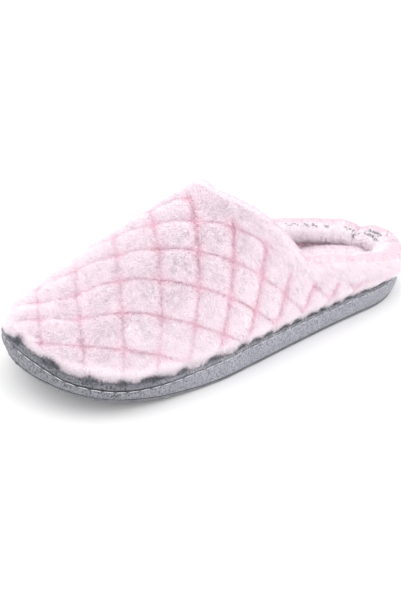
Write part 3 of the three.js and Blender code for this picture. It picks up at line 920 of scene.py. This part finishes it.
def moulded_rubber(colours):
    """Moulded thermoplastic rubber: slightly dusty, with a tread of small round cups. Its dark grey is
    partly the rubber's own and partly painted shade for the dark line along the bottom edge.
    """
    made, tree, shader = material("moulded_rubber", 0.75, specular=0.35)
    dusty = mixed(colours.rubber, (1, 1, 1), 0.12)
    dust = ramp(tree, grain(tree, 6.0, 4.0), [(0.3, tuple(colours.rubber)), (0.75, dusty)])
    tree.links.new(dust, shader.inputs["Base Color"])
    place = node(tree, "ShaderNodeTexCoord").outputs["Object"]
    values = {"Scale": 1 / (5.0 * MM), "Randomness": 0.0}
    cells = node(tree, "ShaderNodeTexVoronoi", values=values, links={"Vector": place})
    cups = ramp(tree, cells.outputs["Distance"], [(0.25, (1, 1, 1)), (0.45, (0, 0, 0))])
    bump(tree, shader, cups, 0.6)
    return made


def studio_floor(colours):
    """Matt painted board: near white, so that only the soft shadow shows."""
    made, tree, shader = material("matt_painted_board", 1.0, specular=0.0)
    shader.inputs["Base Color"].default_value = (*colours.floor, 1)
    return made


def corner_values(mesh, name):
    """Places or normals of a mesh's corners."""
    values = np.empty(len(mesh.vertices) * 3)
    mesh.vertices.foreach_get(name, values)
    return values.reshape(-1, 3)


def surface_samples(piece, count, weights, seed):
    """Points spread over a piece's faces by area and weight, with normals and layer values.

    weights gives each corner's weight from the piece's layers.
    """
    mesh = piece.data
    mesh.calc_loop_triangles()
    tris = np.empty(len(mesh.loop_triangles) * 3, np.int32)
    mesh.loop_triangles.foreach_get("vertices", tris)
    tris = tris.reshape(-1, 3)
    co = corner_values(mesh, "co") / MM
    normals = corner_values(mesh, "normal")
    layers = {}
    for layer in mesh.attributes:
        if layer.domain == "POINT" and layer.data_type == "FLOAT":
            values = np.empty(len(mesh.vertices))
            layer.data.foreach_get("value", values)
            layers[layer.name] = values
    corner = weights(co, normals, layers)
    a, b, c = (co[tris[:, k]] for k in range(3))
    area = np.linalg.norm(np.cross(b - a, c - a), axis=1) / 2 * corner[tris].mean(1)
    rng = np.random.default_rng(seed)
    pick = np.searchsorted(np.cumsum(area) / area.sum(), rng.random(count))
    pick = np.minimum(pick, len(tris) - 1)
    u, v = rng.random(count), rng.random(count)
    over = u + v > 1
    u[over], v[over] = 1 - u[over], 1 - v[over]
    share = np.stack([1 - u - v, u, v], 1)
    at = tris[pick]
    places = np.einsum("nk,nkd->nd", share, co[at])
    ways = np.einsum("nk,nkd->nd", share, normals[at])
    ways /= np.linalg.norm(ways, axis=1, keepdims=True)
    found = {name: (share * values[at]).sum(1) for name, values in layers.items()}
    return places, ways, found, rng


def combed(places, ways, rng, swirl, comb):
    """A direction along the surface for each point: combed one way, in locks that swirl."""
    down = comb - ways * np.sum(ways * comb, 1, keepdims=True)
    size = np.linalg.norm(down, axis=1, keepdims=True)
    fallback = np.cross(ways, [0.3, 0.9, 0.2])
    fallback /= np.linalg.norm(fallback, axis=1, keepdims=True)
    down = np.where(size > 0.05, down / np.maximum(size, 1e-6), fallback)
    sideways = np.cross(ways, down)
    turn = swirl * waves(places, 11.0, 21) + 0.5 * swirl * waves(places, 3.4, 22)
    turn += rng.normal(0, 0.3, len(places))
    return down * np.cos(turn)[:, None] + sideways * np.sin(turn)[:, None]


def add_locks(name, places, ways, lay, length, width, tints, material_used, rng, lift=0.9):
    """Locks of pile, each one tapered blade from its root to its tip."""
    count = len(places)
    lean = np.clip(lift + rng.normal(0, 0.15, count), 0.1, 1.5)[:, None]
    rise = ways * np.sin(lean) + lay * np.cos(lean)
    root = places - ways * 0.2
    tip = root + rise * length[:, None]
    flat = np.cross(ways, lay)
    spin = rng.uniform(-0.8, 0.8, count)[:, None]
    flat = (flat * np.cos(spin) + lay * np.sin(spin)) * width[:, None] / 2
    corners = np.stack([root - flat, root + flat, tip], 1)
    mesh = bpy.data.meshes.new(name)
    mesh.vertices.add(count * 3)
    mesh.vertices.foreach_set("co", (corners.reshape(-1, 3) * MM).ravel())
    mesh.loops.add(count * 3)
    mesh.loops.foreach_set("vertex_index", np.arange(count * 3, dtype=np.int32))
    mesh.polygons.add(count)
    mesh.polygons.foreach_set("loop_start", np.arange(0, count * 3, 3, dtype=np.int32))
    mesh.update(calc_edges=True)
    for layer, values in tints.items():
        made = mesh.attributes.new(layer, "FLOAT", "POINT")
        made.data.foreach_set("value", values.astype(np.float32).ravel())
    mesh.materials.append(material_used)
    piece = bpy.data.objects.new(name, mesh)
    bpy.context.scene.collection.objects.link(piece)
    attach(piece, "root")
    return piece


def lock_tints(rng, places, channel, painted_shade, fleck):
    """Layers of the locks: painted shade makes them deeper pink at the root than at the pale tip, and deeper
    still in the channels.
    """
    count = len(channel)
    own = rng.normal(0, 0.06, count) + 0.06 * waves(places, 2.4, 27)
    # Painted shade: the locks turn deeper pink at the root and in the sewn channels
    channel_shade = smooth((channel - 0.3) / 0.55)
    tip = np.clip(1.0 - 0.55 * channel_shade + own, 0, 1)
    root = np.clip(0.8 - 0.5 * channel_shade + own, 0, 1)
    tint = np.stack([root, root, tip], 1)
    painted_shade, fleck = (np.repeat(share[:, None], 3, 1) for share in (painted_shade, fleck))
    return {"tint": tint, "painted_shade": painted_shade, "fleck": fleck}


def find_material(name, make, *arguments):
    return bpy.data.materials.get(name) or make(*arguments)


class SLIPPER_OT_upper(bpy.types.Operator):
    """Build the quilted fleece upper with its rolled collar"""

    bl_idname = "slipper.upper"
    bl_label = "Upper"

    def execute(self, context):
        sizes, colours = context.scene.slipper_sizes, context.scene.slipper_colours
        forms, last = fleece_form(sizes)
        bm = bmesh.new()
        for points, values in forms.values():
            grid = weave(bm, points, values)
            spare = []
            for i in range(last, points.shape[0] - 1):
                for j in range(UPPER_ROWS, UPPER_ROWS + ROLL_ROWS):
                    corners = [grid[i, j], grid[i + 1, j], grid[i + 1, j + 1], grid[i, j + 1]]
                    spare.append(next(f for f in corners[0].link_faces if set(f.verts) == set(corners)))
            bmesh.ops.delete(bm, geom=spare, context="FACES_KEEP_BOUNDARY")
        loose = [v for v in bm.verts if not v.link_faces]
        bmesh.ops.delete(bm, geom=loose, context="VERTS")
        name = "coral_fleece_ground"
        ground = find_material(name, fleece_ground, colours, name, GROUND_SHADE)
        piece = finish_piece("fleece_upper", bm, [ground])
        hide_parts("upper")
        return {"FINISHED"}


class SLIPPER_OT_pile(bpy.types.Operator):
    """Cover the upper with locks of soft pile"""

    bl_idname = "slipper.pile"
    bl_label = "Pile"

    def execute(self, context):
        sizes, colours = context.scene.slipper_sizes, context.scene.slipper_colours
        upper = bpy.data.objects["fleece_upper"]
        pile = find_material("coral_fleece_pile", fleece_pile, colours)
        comb = np.array([0.0, -0.15, -1.0])
        for name, is_medial in (("pile_lateral", 0.0), ("pile_medial", 1.0)):

            def outside(co, normals, layers, wanted=is_medial):
                near = np.abs(layers["medial"] - wanted) < 0.5
                return near * (layers["inside"] < 0.02) * (layers["rise"] > 0.5)

            places, ways, found, rng = surface_samples(upper, sizes.pile_count, outside, 31 + int(is_medial))
            count = len(places)
            lay = combed(places, ways, rng, 0.25, comb)
            foot = smooth(1 - (found["rise"] - rand_height(found["station"]) - 1.5) / 4.0)
            fringe = foot * (1 - 0.85 * found["sewn"])
            hang = 1.9 - 1.2 * toe_shade(found["station"]) * (1 - is_medial)
            length = sizes.pile_length * (1 + 0.07 * waves(places, 3.2, 23) + hang * fringe)
            length = length * (1 - 0.3 * found["channel"]) * rng.uniform(0.8, 1.15, count)
            width = sizes.pile_width * rng.uniform(0.7, 1.3, count)
            plain = np.zeros(count)
            tints = lock_tints(rng, places, found["channel"], plain, plain)
            lift = mix(1.1, 0.45, fringe)
            add_locks(name, places, ways, lay, length, width, tints, pile, rng, lift=lift)
        return {"FINISHED"}


class SLIPPER_OT_collar_pile(bpy.types.Operator):
    """Cover the rolled collar and the inside of the opening with pile, with painted shade on the crown"""

    bl_idname = "slipper.collar_pile"
    bl_label = "Collar pile"

    def execute(self, context):
        sizes, colours = context.scene.slipper_sizes, context.scene.slipper_colours
        upper = bpy.data.objects["fleece_upper"]
        pile = find_material("coral_fleece_pile", fleece_pile, colours)

        def rolled(co, normals, layers):
            shown = layers["inside"] > 0.02
            return shown * (0.12 + 0.88 * smooth(1 - (layers["rim"] - 20) / 25)) * (layers["rise"] > 1.0)

        count = int(sizes.pile_count * COLLAR_PILE_SHARE)
        places, ways, found, rng = surface_samples(upper, count, rolled, 41)
        lay = combed(places, ways, rng, 0.5, np.array([0.0, 0.0, -1.0]))
        longer = 0.8 + 0.9 * smooth((found["inside"] - 0.88) / 0.12)
        length = sizes.pile_length * longer * rng.uniform(0.75, 1.2, count)
        width = sizes.pile_width * rng.uniform(0.7, 1.2, count)
        # Painted shade: deeper pink low on the inner wall, in the corner where it meets the footbed
        joint_shade = smooth((found["inside"] - 0.8) / 0.2) * smooth(1 - (found["rise"] - 4.0) / 7.0)
        # Painted shade on the crown of the roll, which faces the light
        painted_shade = smooth(1.6 - np.abs(found["inside"] - 0.28) / 0.2) * 0.7
        fleck = self.flecks(found, places, rng)
        tints = lock_tints(rng, places, 0.75 * joint_shade, painted_shade, fleck)
        add_locks("pile_collar", places, ways, lay, length, width, tints, pile, rng, lift=1.05)
        return {"FINISHED"}

    def flecks(self, found, places, rng):
        """Dark fibres in short strokes along the inner face of the far rim and at the heel."""
        station, inside = found["station"], found["inside"]
        far = np.where(station < 1.2, 1.0, found["medial"])
        broken = waves(places, 2.2, 25) > -0.35
        fleck = np.zeros(len(places))
        for start, end, low, high in FLECK_STROKES:
            along = (station > start) & (station < end)
            slant = 0.03 * np.sin((station - start) * 0.9)
            band = (inside > low + slant) & (inside < high + slant)
            fleck = np.maximum(fleck, along * band * broken * far)
        return fleck * (rng.random(len(places)) < 0.8)


def pad_grid(s, side, rows):
    """One side of a pad: rows of (share of the half width, inset, height), as a grid of points."""
    points = []
    for share, inset, height in rows:
        x, along = plan(s, side, inset(s) if callable(inset) else inset)
        middle = centre(s)
        points.append(point(mix(middle, x, share), mix(s, along, share), height(s)))
    return np.stack(points, 1)


class SLIPPER_OT_sole(bpy.types.Operator):
    """Build the foam sole wrapped in heather knit"""

    bl_idname = "slipper.sole"
    bl_label = "Sole"

    def execute(self, context):
        colours = context.scene.slipper_colours
        s = stations(SOLE_PITCH)

        def base(s):
            return floor_lift(s) + OUTSOLE_THICKNESS + SEAT_GAP

        def rise(s):
            return seam_height(s) - base(s)

        def at(share):
            return lambda s: base(s) + rise(s) * share

        heights, tuck_shares, bulge_shares = zip(*SOLE_SIDE)
        heights = np.array([0, *heights, 0.97])
        tucks = curve(heights, np.array([1, *tuck_shares, 0]))
        bulges = curve(heights, np.array([0, *bulge_shares, 0]))
        rows = [(share, -SOLE_TUCK - SOLE_EDGE, base) for share in (0, 0.35, 0.7, 0.9, 1)]
        rows.append((1, -SOLE_TUCK - SOLE_EDGE * 0.3, lambda s: base(s) + SOLE_EDGE * 0.3))
        for share in np.linspace(0.1, 0.9, 9):
            rows.append((1, -SOLE_TUCK * float(tucks(share)) + SOLE_BULGE * float(bulges(share)), at(share)))
        rows += [
            (1, 0.0, lambda s: seam_height(s) - SOLE_TOP_EDGE),
            (1, -SOLE_TOP_EDGE * 0.3, lambda s: seam_height(s) - SOLE_TOP_EDGE * 0.3),
            (1, -SOLE_TOP_EDGE, seam_height),
        ]
        rows += [(share, -SOLE_TOP_EDGE, seam_height) for share in (0.9, 0.7, 0.35, 0)]
        bm = bmesh.new()
        for side in (LATERAL, MEDIAL):
            points = pad_grid(s, side, rows)
            lumps = waves(points, 17.0, 12) * 0.18 + waves(points, 6.0, 13) * 0.1
            away = points - points.mean(1, keepdims=True)
            away[..., 2] = 0
            away /= np.maximum(np.linalg.norm(away, axis=-1, keepdims=True), 1)
            side_row = np.array([1.0 if 5 < k < len(rows) - 6 else 0.0 for k in range(len(rows))])
            points = points + away * (lumps * side_row)[..., None]
            # Painted shade in the seam's groove: the top rows of the sole, stronger round the toe
            seam_shade_rows = np.array([1.0 if k >= len(rows) - 6 else 0.0 for k in range(len(rows))])
            values = {
                "toe": np.broadcast_to(toe_shade(s)[:, None], points.shape[:2]),
                "seam_shade": seam_shade_rows[None, :] * mix(0.35, 0.9, toe_shade(s))[:, None],
            }
            weave(bm, points, values)
        knit = find_material("heather_knit", heather_knit, colours)
        piece = finish_piece("knit_sole", bm, [knit])
        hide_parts("sole")
        return {"FINISHED"}


class SLIPPER_OT_rand(bpy.types.Operator):
    """Build the grey turned edge above the seam and its brushed tufts"""

    bl_idname = "slipper.rand"
    bl_label = "Turned edge"

    def execute(self, context):
        sizes, colours = context.scene.slipper_sizes, context.scene.slipper_colours
        s = stations(SOLE_PITCH)
        outer, inner = RAND_PROUD, RAND_PROUD - RAND_THICKNESS
        profile = [
            (inner, 0.0), (mix(inner, outer, 0.6), 0.0), (outer, 0.06), (outer + 0.15, 0.3),
            (outer, 0.6), (mix(outer, inner, 0.15), 0.82), (mix(outer, inner, 0.4), 0.96),
            (mix(outer, inner, 0.7), 0.96), (inner, RAND_CROWN_SHARE), (inner, 0.35), (inner, 0.0),
        ]
        bm = bmesh.new()
        for side in (LATERAL, MEDIAL):
            columns = []
            low = mix(0.45, 0.85, toe_shade(s))
            hidden = 0.65 * toe_shade(s) if side == MEDIAL else 0
            teeth = rand_height(s) * mix(low, 1.0, sewn_at_foot(s, side)) * (1 - hidden)
            for grow, share in profile:
                x, along = plan(s, side, grow)
                columns.append(point(x, along, seam_height(s) + SEAT_GAP + teeth * share))
            points = np.stack(columns, 1)
            lumps = waves(points, 4.0, 14) * 0.22
            lumps[:, [0, -1, -2]] = 0
            points[..., 2] += lumps * np.array([0, 0, 0, 0, 0.4, 0.8, 1, 1, 0, 0, 0])
            shape = points.shape[:2]
            crest = np.array([0, 0, 0, 0, 0.15, 0.7, 1, 1, 0, 0, 0])
            values = {
                "crest": np.broadcast_to(crest[None, :], shape),
                "toe": np.broadcast_to(toe_shade(s)[:, None], shape),
                # Painted shade in the groove at the foot of the turned edge
                "seam_shade": np.broadcast_to(np.array([0.9, 0.9, 0.6] + [0] * 8)[None, :], shape),
                "station": np.broadcast_to(s[:, None], shape),
                "sewn": np.broadcast_to(sewn_at_foot(s, side)[:, None], shape),
            }
            weave(bm, points, values)
        name = "brushed_heather_knit"
        knit = find_material(name, heather_knit, colours, name, RAND_SHADE)
        piece = finish_piece("knit_rand", bm, [knit])
        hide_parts("rand")

        def upward(co, normals, layers):
            return layers["crest"] * (0.3 + 1.7 * layers["sewn"])

        places, ways, found, rng = surface_samples(piece, TUFT_COUNT, upward, 51)
        count = len(places)
        level = np.maximum(np.hypot(ways[:, 0], ways[:, 1]), 0.2)[:, None]
        outward = ways * [1.0, 1.0, 0.0] / level
        stand = outward * 0.35 + [0.0, 0.0, 1.0] + rng.normal(0, 0.3, (count, 3))
        stand /= np.linalg.norm(stand, axis=1, keepdims=True)
        ragged = 0.25 + 0.5 * smooth(0.5 + 0.9 * waves(places, 1.7, 28))
        turned = 1 - 0.8 * toe_shade(found["station"]) * smooth(-places[:, 0] / 12)
        length = sizes.tuft_length * (ragged + 0.8 * found["sewn"]) * rng.uniform(0.6, 1.2, count) * turned
        width = TUFT_WIDTH * rng.uniform(0.7, 1.3, count)
        own = np.repeat(rng.uniform(0, 1, count)[:, None], 3, 1)
        tuft = find_material("brushed_knit_tufts", knit_tufts, colours)
        tints, slot = {"tint": own}, "rand_knit"
        add_locks("rand_tufts", places, stand, outward, length, width, tints, tuft, rng, lift=1.4)
        return {"FINISHED"}


class SLIPPER_OT_stitches(bpy.types.Operator):
    """Sew the seam between the sole and the upper"""

    bl_idname = "slipper.stitches"
    bl_label = "Seam stitches"

    def execute(self, context):
        sizes, colours = context.scene.slipper_sizes, context.scene.slipper_colours
        bm = bmesh.new()
        pitch = sizes.stitch_length + sizes.stitch_gap
        walk = np.linspace(0, LENGTH, FINE * 4)
        for side in (LATERAL, MEDIAL):
            x, along = plan(walk, side, STITCH_PROUD)
            line = point(x, along, seam_height(walk) - STITCH_DROP)
            way = np.concatenate([[0], np.cumsum(np.linalg.norm(np.diff(line, axis=0), axis=1))])
            for k in range(int(way[-1] / pitch)):
                start = k * pitch + sizes.stitch_gap / 2
                at = (start, start + sizes.stitch_length)
                a, b = (np.array([np.interp(t, way, line[:, d]) for d in range(3)]) for t in at)
                self.add_stitch(bm, a + SHIFT, b + SHIFT)
        thread = find_material("spun_polyester_thread", seam_thread, colours)
        finish_piece("seam_stitches", bm, [thread], merge=0.000001)
        return {"FINISHED"}

    def add_stitch(self, bm, a, b):
        """One stitch: a short thread, thinner at both ends where it dives into the cloth."""
        way = Vector(b - a)
        turn = way.to_track_quat("Z", "Y").to_matrix().to_4x4()
        place = Matrix.Translation(Vector((a + b) / 2) * MM) @ turn
        made = bmesh.ops.create_uvsphere(bm, u_segments=6, v_segments=6, radius=0.5 * MM)
        bmesh.ops.scale(bm, vec=(STITCH_THICKNESS, STITCH_THICKNESS, way.length), verts=made["verts"])
        bmesh.ops.transform(bm, matrix=place, verts=made["verts"])


class SLIPPER_OT_insole(bpy.types.Operator):
    """Stuff the fleece footbed as a swelling pad and cover it with pile"""

    bl_idname = "slipper.insole"
    bl_label = "Footbed"

    def execute(self, context):
        sizes, colours = context.scene.slipper_sizes, context.scene.slipper_colours
        s = stations(4.5)

        def foot(s):
            return seam_height(s) + SEAT_GAP

        def thickness(s):
            taper = smooth((s / LENGTH - INSOLE_TAPER_AT) / INSOLE_TAPER_SHARE)
            return mix(INSOLE_THICKNESS, INSOLE_TOE_THICKNESS, taper) - SWELL_ROOM

        def inset(more):
            return lambda s: -(UPPER_TUCK + wall_at(s) + FOOTBED_GAP + FOOTBED_TOE_GAP * toe_cap(s) + more)

        def at(share):
            return lambda s: foot(s) + thickness(s) * share

        shares = (0, 0.15, 0.3, 0.45, 0.6, 0.75, 0.88)
        rows = [(share, inset(1.0), foot) for share in (*shares, 1)]
        rows += [(1, inset(0), at(0.3)), (1, inset(0), at(0.6)), (1, inset(1.0), at(0.88))]
        rows += [(share, inset(INSOLE_EDGE / 2), at(1)) for share in (1, *shares[::-1])]
        bm = bmesh.new()
        for side in (LATERAL, MEDIAL):
            weave(bm, pad_grid(s, side, rows))
        ground = find_material("footbed_ground", fleece_ground, colours, "footbed_ground")
        piece = finish_piece("fleece_insole", bm, [ground])
        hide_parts("insole")
        self.stuff(context, piece, sizes.pad_swell * MM)
        rounded = piece.modifiers.new("rounded", "SUBSURF")
        rounded.levels = rounded.render_levels = 1
        self.apply(context, piece)
        pile = find_material("footbed_pile", fleece_pile, colours, "footbed_pile")

        def top(co, normals, layers):
            shown = 0.15 + 0.85 * smooth((co[:, 1] + 20) / 40)
            return (normals[:, 2] > -0.2) * shown

        places, ways, _, rng = surface_samples(piece, FOOTBED_LOCKS, top, 61)
        count = len(places)
        lay = combed(places, ways, rng, 0.8, np.array([0.2, -1.0, 0.0]))
        length = sizes.pile_length * 0.6 * rng.uniform(0.75, 1.2, count)
        width = sizes.pile_width * 1.1 * rng.uniform(0.7, 1.3, count)
        plain, slot = np.zeros(count), "insole_fleece"
        # The footbed's pile takes 0.3 of the crown colour, a painted shade
        tints = lock_tints(rng, places, plain, np.full(count, 0.3), plain)
        add_locks("pile_insole", places, ways, lay, length, width, tints, pile, rng, lift=1.0)
        return {"FINISHED"}

    def stuff(self, context, piece, most):
        """Swells the pad under pressure, no point further than most, and keeps it off the sole."""
        scene = context.scene
        rest = np.array([v.co for v in piece.data.vertices])
        cushion = piece.modifiers.new("stuffing", "CLOTH")
        cushion.settings.use_pressure = True
        cushion.settings.uniform_pressure_force = SWELL_PRESSURE
        cushion.settings.effector_weights.gravity = 0
        cushion.point_cache.frame_end = SWELL_FRAMES
        for step in range(1, SWELL_FRAMES + 1):
            scene.frame_set(step)
        graph = context.evaluated_depsgraph_get()
        shaped = piece.evaluated_get(graph).data
        swollen = np.array([v.co for v in shaped.vertices])
        piece.modifiers.remove(cushion)
        scene.frame_set(1)
        move = swollen - rest
        move[:, 2] = np.maximum(move[:, 2], 0)
        size = np.linalg.norm(move, axis=1, keepdims=True)
        move *= np.minimum(1, most / np.maximum(size, 1e-9))
        move[:, :2] *= SWELL_SIDEWAYS
        piece.data.vertices.foreach_set("co", (rest + move).ravel())
        piece.data.update()

    def apply(self, context, piece):
        """Bakes the piece's modifiers into its mesh."""
        graph = context.evaluated_depsgraph_get()
        made = bpy.data.meshes.new_from_object(piece.evaluated_get(graph))
        piece.modifiers.clear()
        piece.data = made


class SLIPPER_OT_outsole(bpy.types.Operator):
    """Give the rubber outsole its material"""

    bl_idname = "slipper.outsole"
    bl_label = "Outsole"

    def execute(self, context):
        rubber = find_material("moulded_rubber", moulded_rubber, context.scene.slipper_colours)
        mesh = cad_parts["outsole"].data
        mesh.materials.clear()
        mesh.materials.append(rubber)
        return {"FINISHED"}


class SLIPPER_OT_stage(bpy.types.Operator):
    """Set the pale floor, the soft light and the camera"""

    bl_idname = "slipper.stage"
    bl_label = "Stage"

    def execute(self, context):
        scene = context.scene
        bm = bmesh.new()
        bmesh.ops.create_grid(bm, x_segments=1, y_segments=1, size=6)
        mesh = bpy.data.meshes.new("studio_floor")
        bm.to_mesh(mesh)
        bm.free()
        mesh.materials.append(find_material("matt_painted_board", studio_floor, scene.slipper_colours))
        floor = bpy.data.objects.new("studio_floor", mesh)
        floor.data.transform(Matrix.Translation((0, 0, -0.0002)))
        scene.collection.objects.link(floor)
        world = bpy.data.worlds.new("studio")
        scene.world = world
        world.use_nodes = True
        world.node_tree.nodes["Background"].inputs["Color"].default_value = (1, 1, 1, 1)
        world.node_tree.nodes["Background"].inputs["Strength"].default_value = SKY_STRENGTH
        for light in LIGHTS:
            self.add_light(*light)
        scene.view_settings.view_transform = "Standard"
        self.add_camera(scene)
        return {"FINISHED"}

    def add_light(self, name, place, size, power):
        light = bpy.data.lights.new(name, "AREA")
        light.shape = "DISK"
        light.size = size
        light.energy = power
        lamp = bpy.data.objects.new(name, light)
        lamp.location = place
        lamp.rotation_euler = (Vector(place) - Vector((0, 0, 0.03))).to_track_quat("Z", "Y").to_euler()
        bpy.context.scene.collection.objects.link(lamp)

    def add_camera(self, scene):
        """The photograph's view: where it looks from and at, its field, roll and shift."""
        angles = (PHOTO_AZIMUTH, PHOTO_ELEVATION, PHOTO_ROLL)
        azimuth, elevation, roll = (math.radians(angle) for angle in angles)
        target = np.array([0.0, 0.0, TARGET_HEIGHT]) + SHIFT
        back = np.array([
            math.sin(azimuth) * math.cos(elevation),
            -math.cos(azimuth) * math.cos(elevation),
            math.sin(elevation),
        ])
        right = np.array([math.cos(azimuth), math.sin(azimuth), 0.0])
        up = np.cross(back, right)
        c, s = math.cos(roll), math.sin(roll)
        turned_right, turned_up = c * right - s * up, s * right + c * up
        data = bpy.data.cameras.new("camera")
        camera = bpy.data.objects.new("camera", data)
        basis = Matrix((turned_right, turned_up, back)).transposed().to_4x4()
        camera.matrix_world = Matrix.Translation((target + back * PHOTO_DISTANCE) * MM) @ basis
        data.sensor_width = 36
        data.lens = PHOTO_FOCAL * data.sensor_width / max(PHOTO_SIZE)
        data.shift_x = PHOTO_SHIFT[0] / max(PHOTO_SIZE)
        data.shift_y = PHOTO_SHIFT[1] / max(PHOTO_SIZE)
        data.clip_start = 0.02
        scene.collection.objects.link(camera)
        scene.camera = camera


class SLIPPER_PT_panel(bpy.types.Panel):
    """Sizes, colours and the steps of building the slipper"""

    bl_idname = "SLIPPER_PT_panel"
    bl_label = "Clog slipper"
    bl_space_type = "VIEW_3D"
    bl_region_type = "UI"
    bl_category = "Slipper"

    def draw(self, context):
        layout = self.layout
        for group in (context.scene.slipper_sizes, context.scene.slipper_colours):
            box = layout.box()
            for name in group.bl_rna.properties.keys():
                if name not in ("rna_type", "name"):
                    box.prop(group, name)
        for step in STEPS:
            layout.operator(step.bl_idname)


STEPS = (
    SLIPPER_OT_stage,
    SLIPPER_OT_outsole,
    SLIPPER_OT_sole,
    SLIPPER_OT_rand,
    SLIPPER_OT_stitches,
    SLIPPER_OT_insole,
    SLIPPER_OT_upper,
    SLIPPER_OT_pile,
    SLIPPER_OT_collar_pile,
)
CLASSES = (SlipperSizes, SlipperColours, *STEPS, SLIPPER_PT_panel)


def register():
    for cls in CLASSES:
        bpy.utils.register_class(cls)
    bpy.types.Scene.slipper_sizes = PointerProperty(type=SlipperSizes)
    bpy.types.Scene.slipper_colours = PointerProperty(type=SlipperColours)


def unregister():
    del bpy.types.Scene.slipper_colours
    del bpy.types.Scene.slipper_sizes
    for cls in reversed(CLASSES):
        bpy.utils.unregister_class(cls)


def main():
    register()
    bpy.ops.slipper.stage()
    bpy.ops.slipper.outsole()
    bpy.ops.slipper.sole()
    bpy.ops.slipper.rand()
    bpy.ops.slipper.stitches()
    bpy.ops.slipper.insole()
    bpy.ops.slipper.upper()
    bpy.ops.slipper.pile()
    bpy.ops.slipper.collar_pile()


if __name__ == "__main__":
    main()
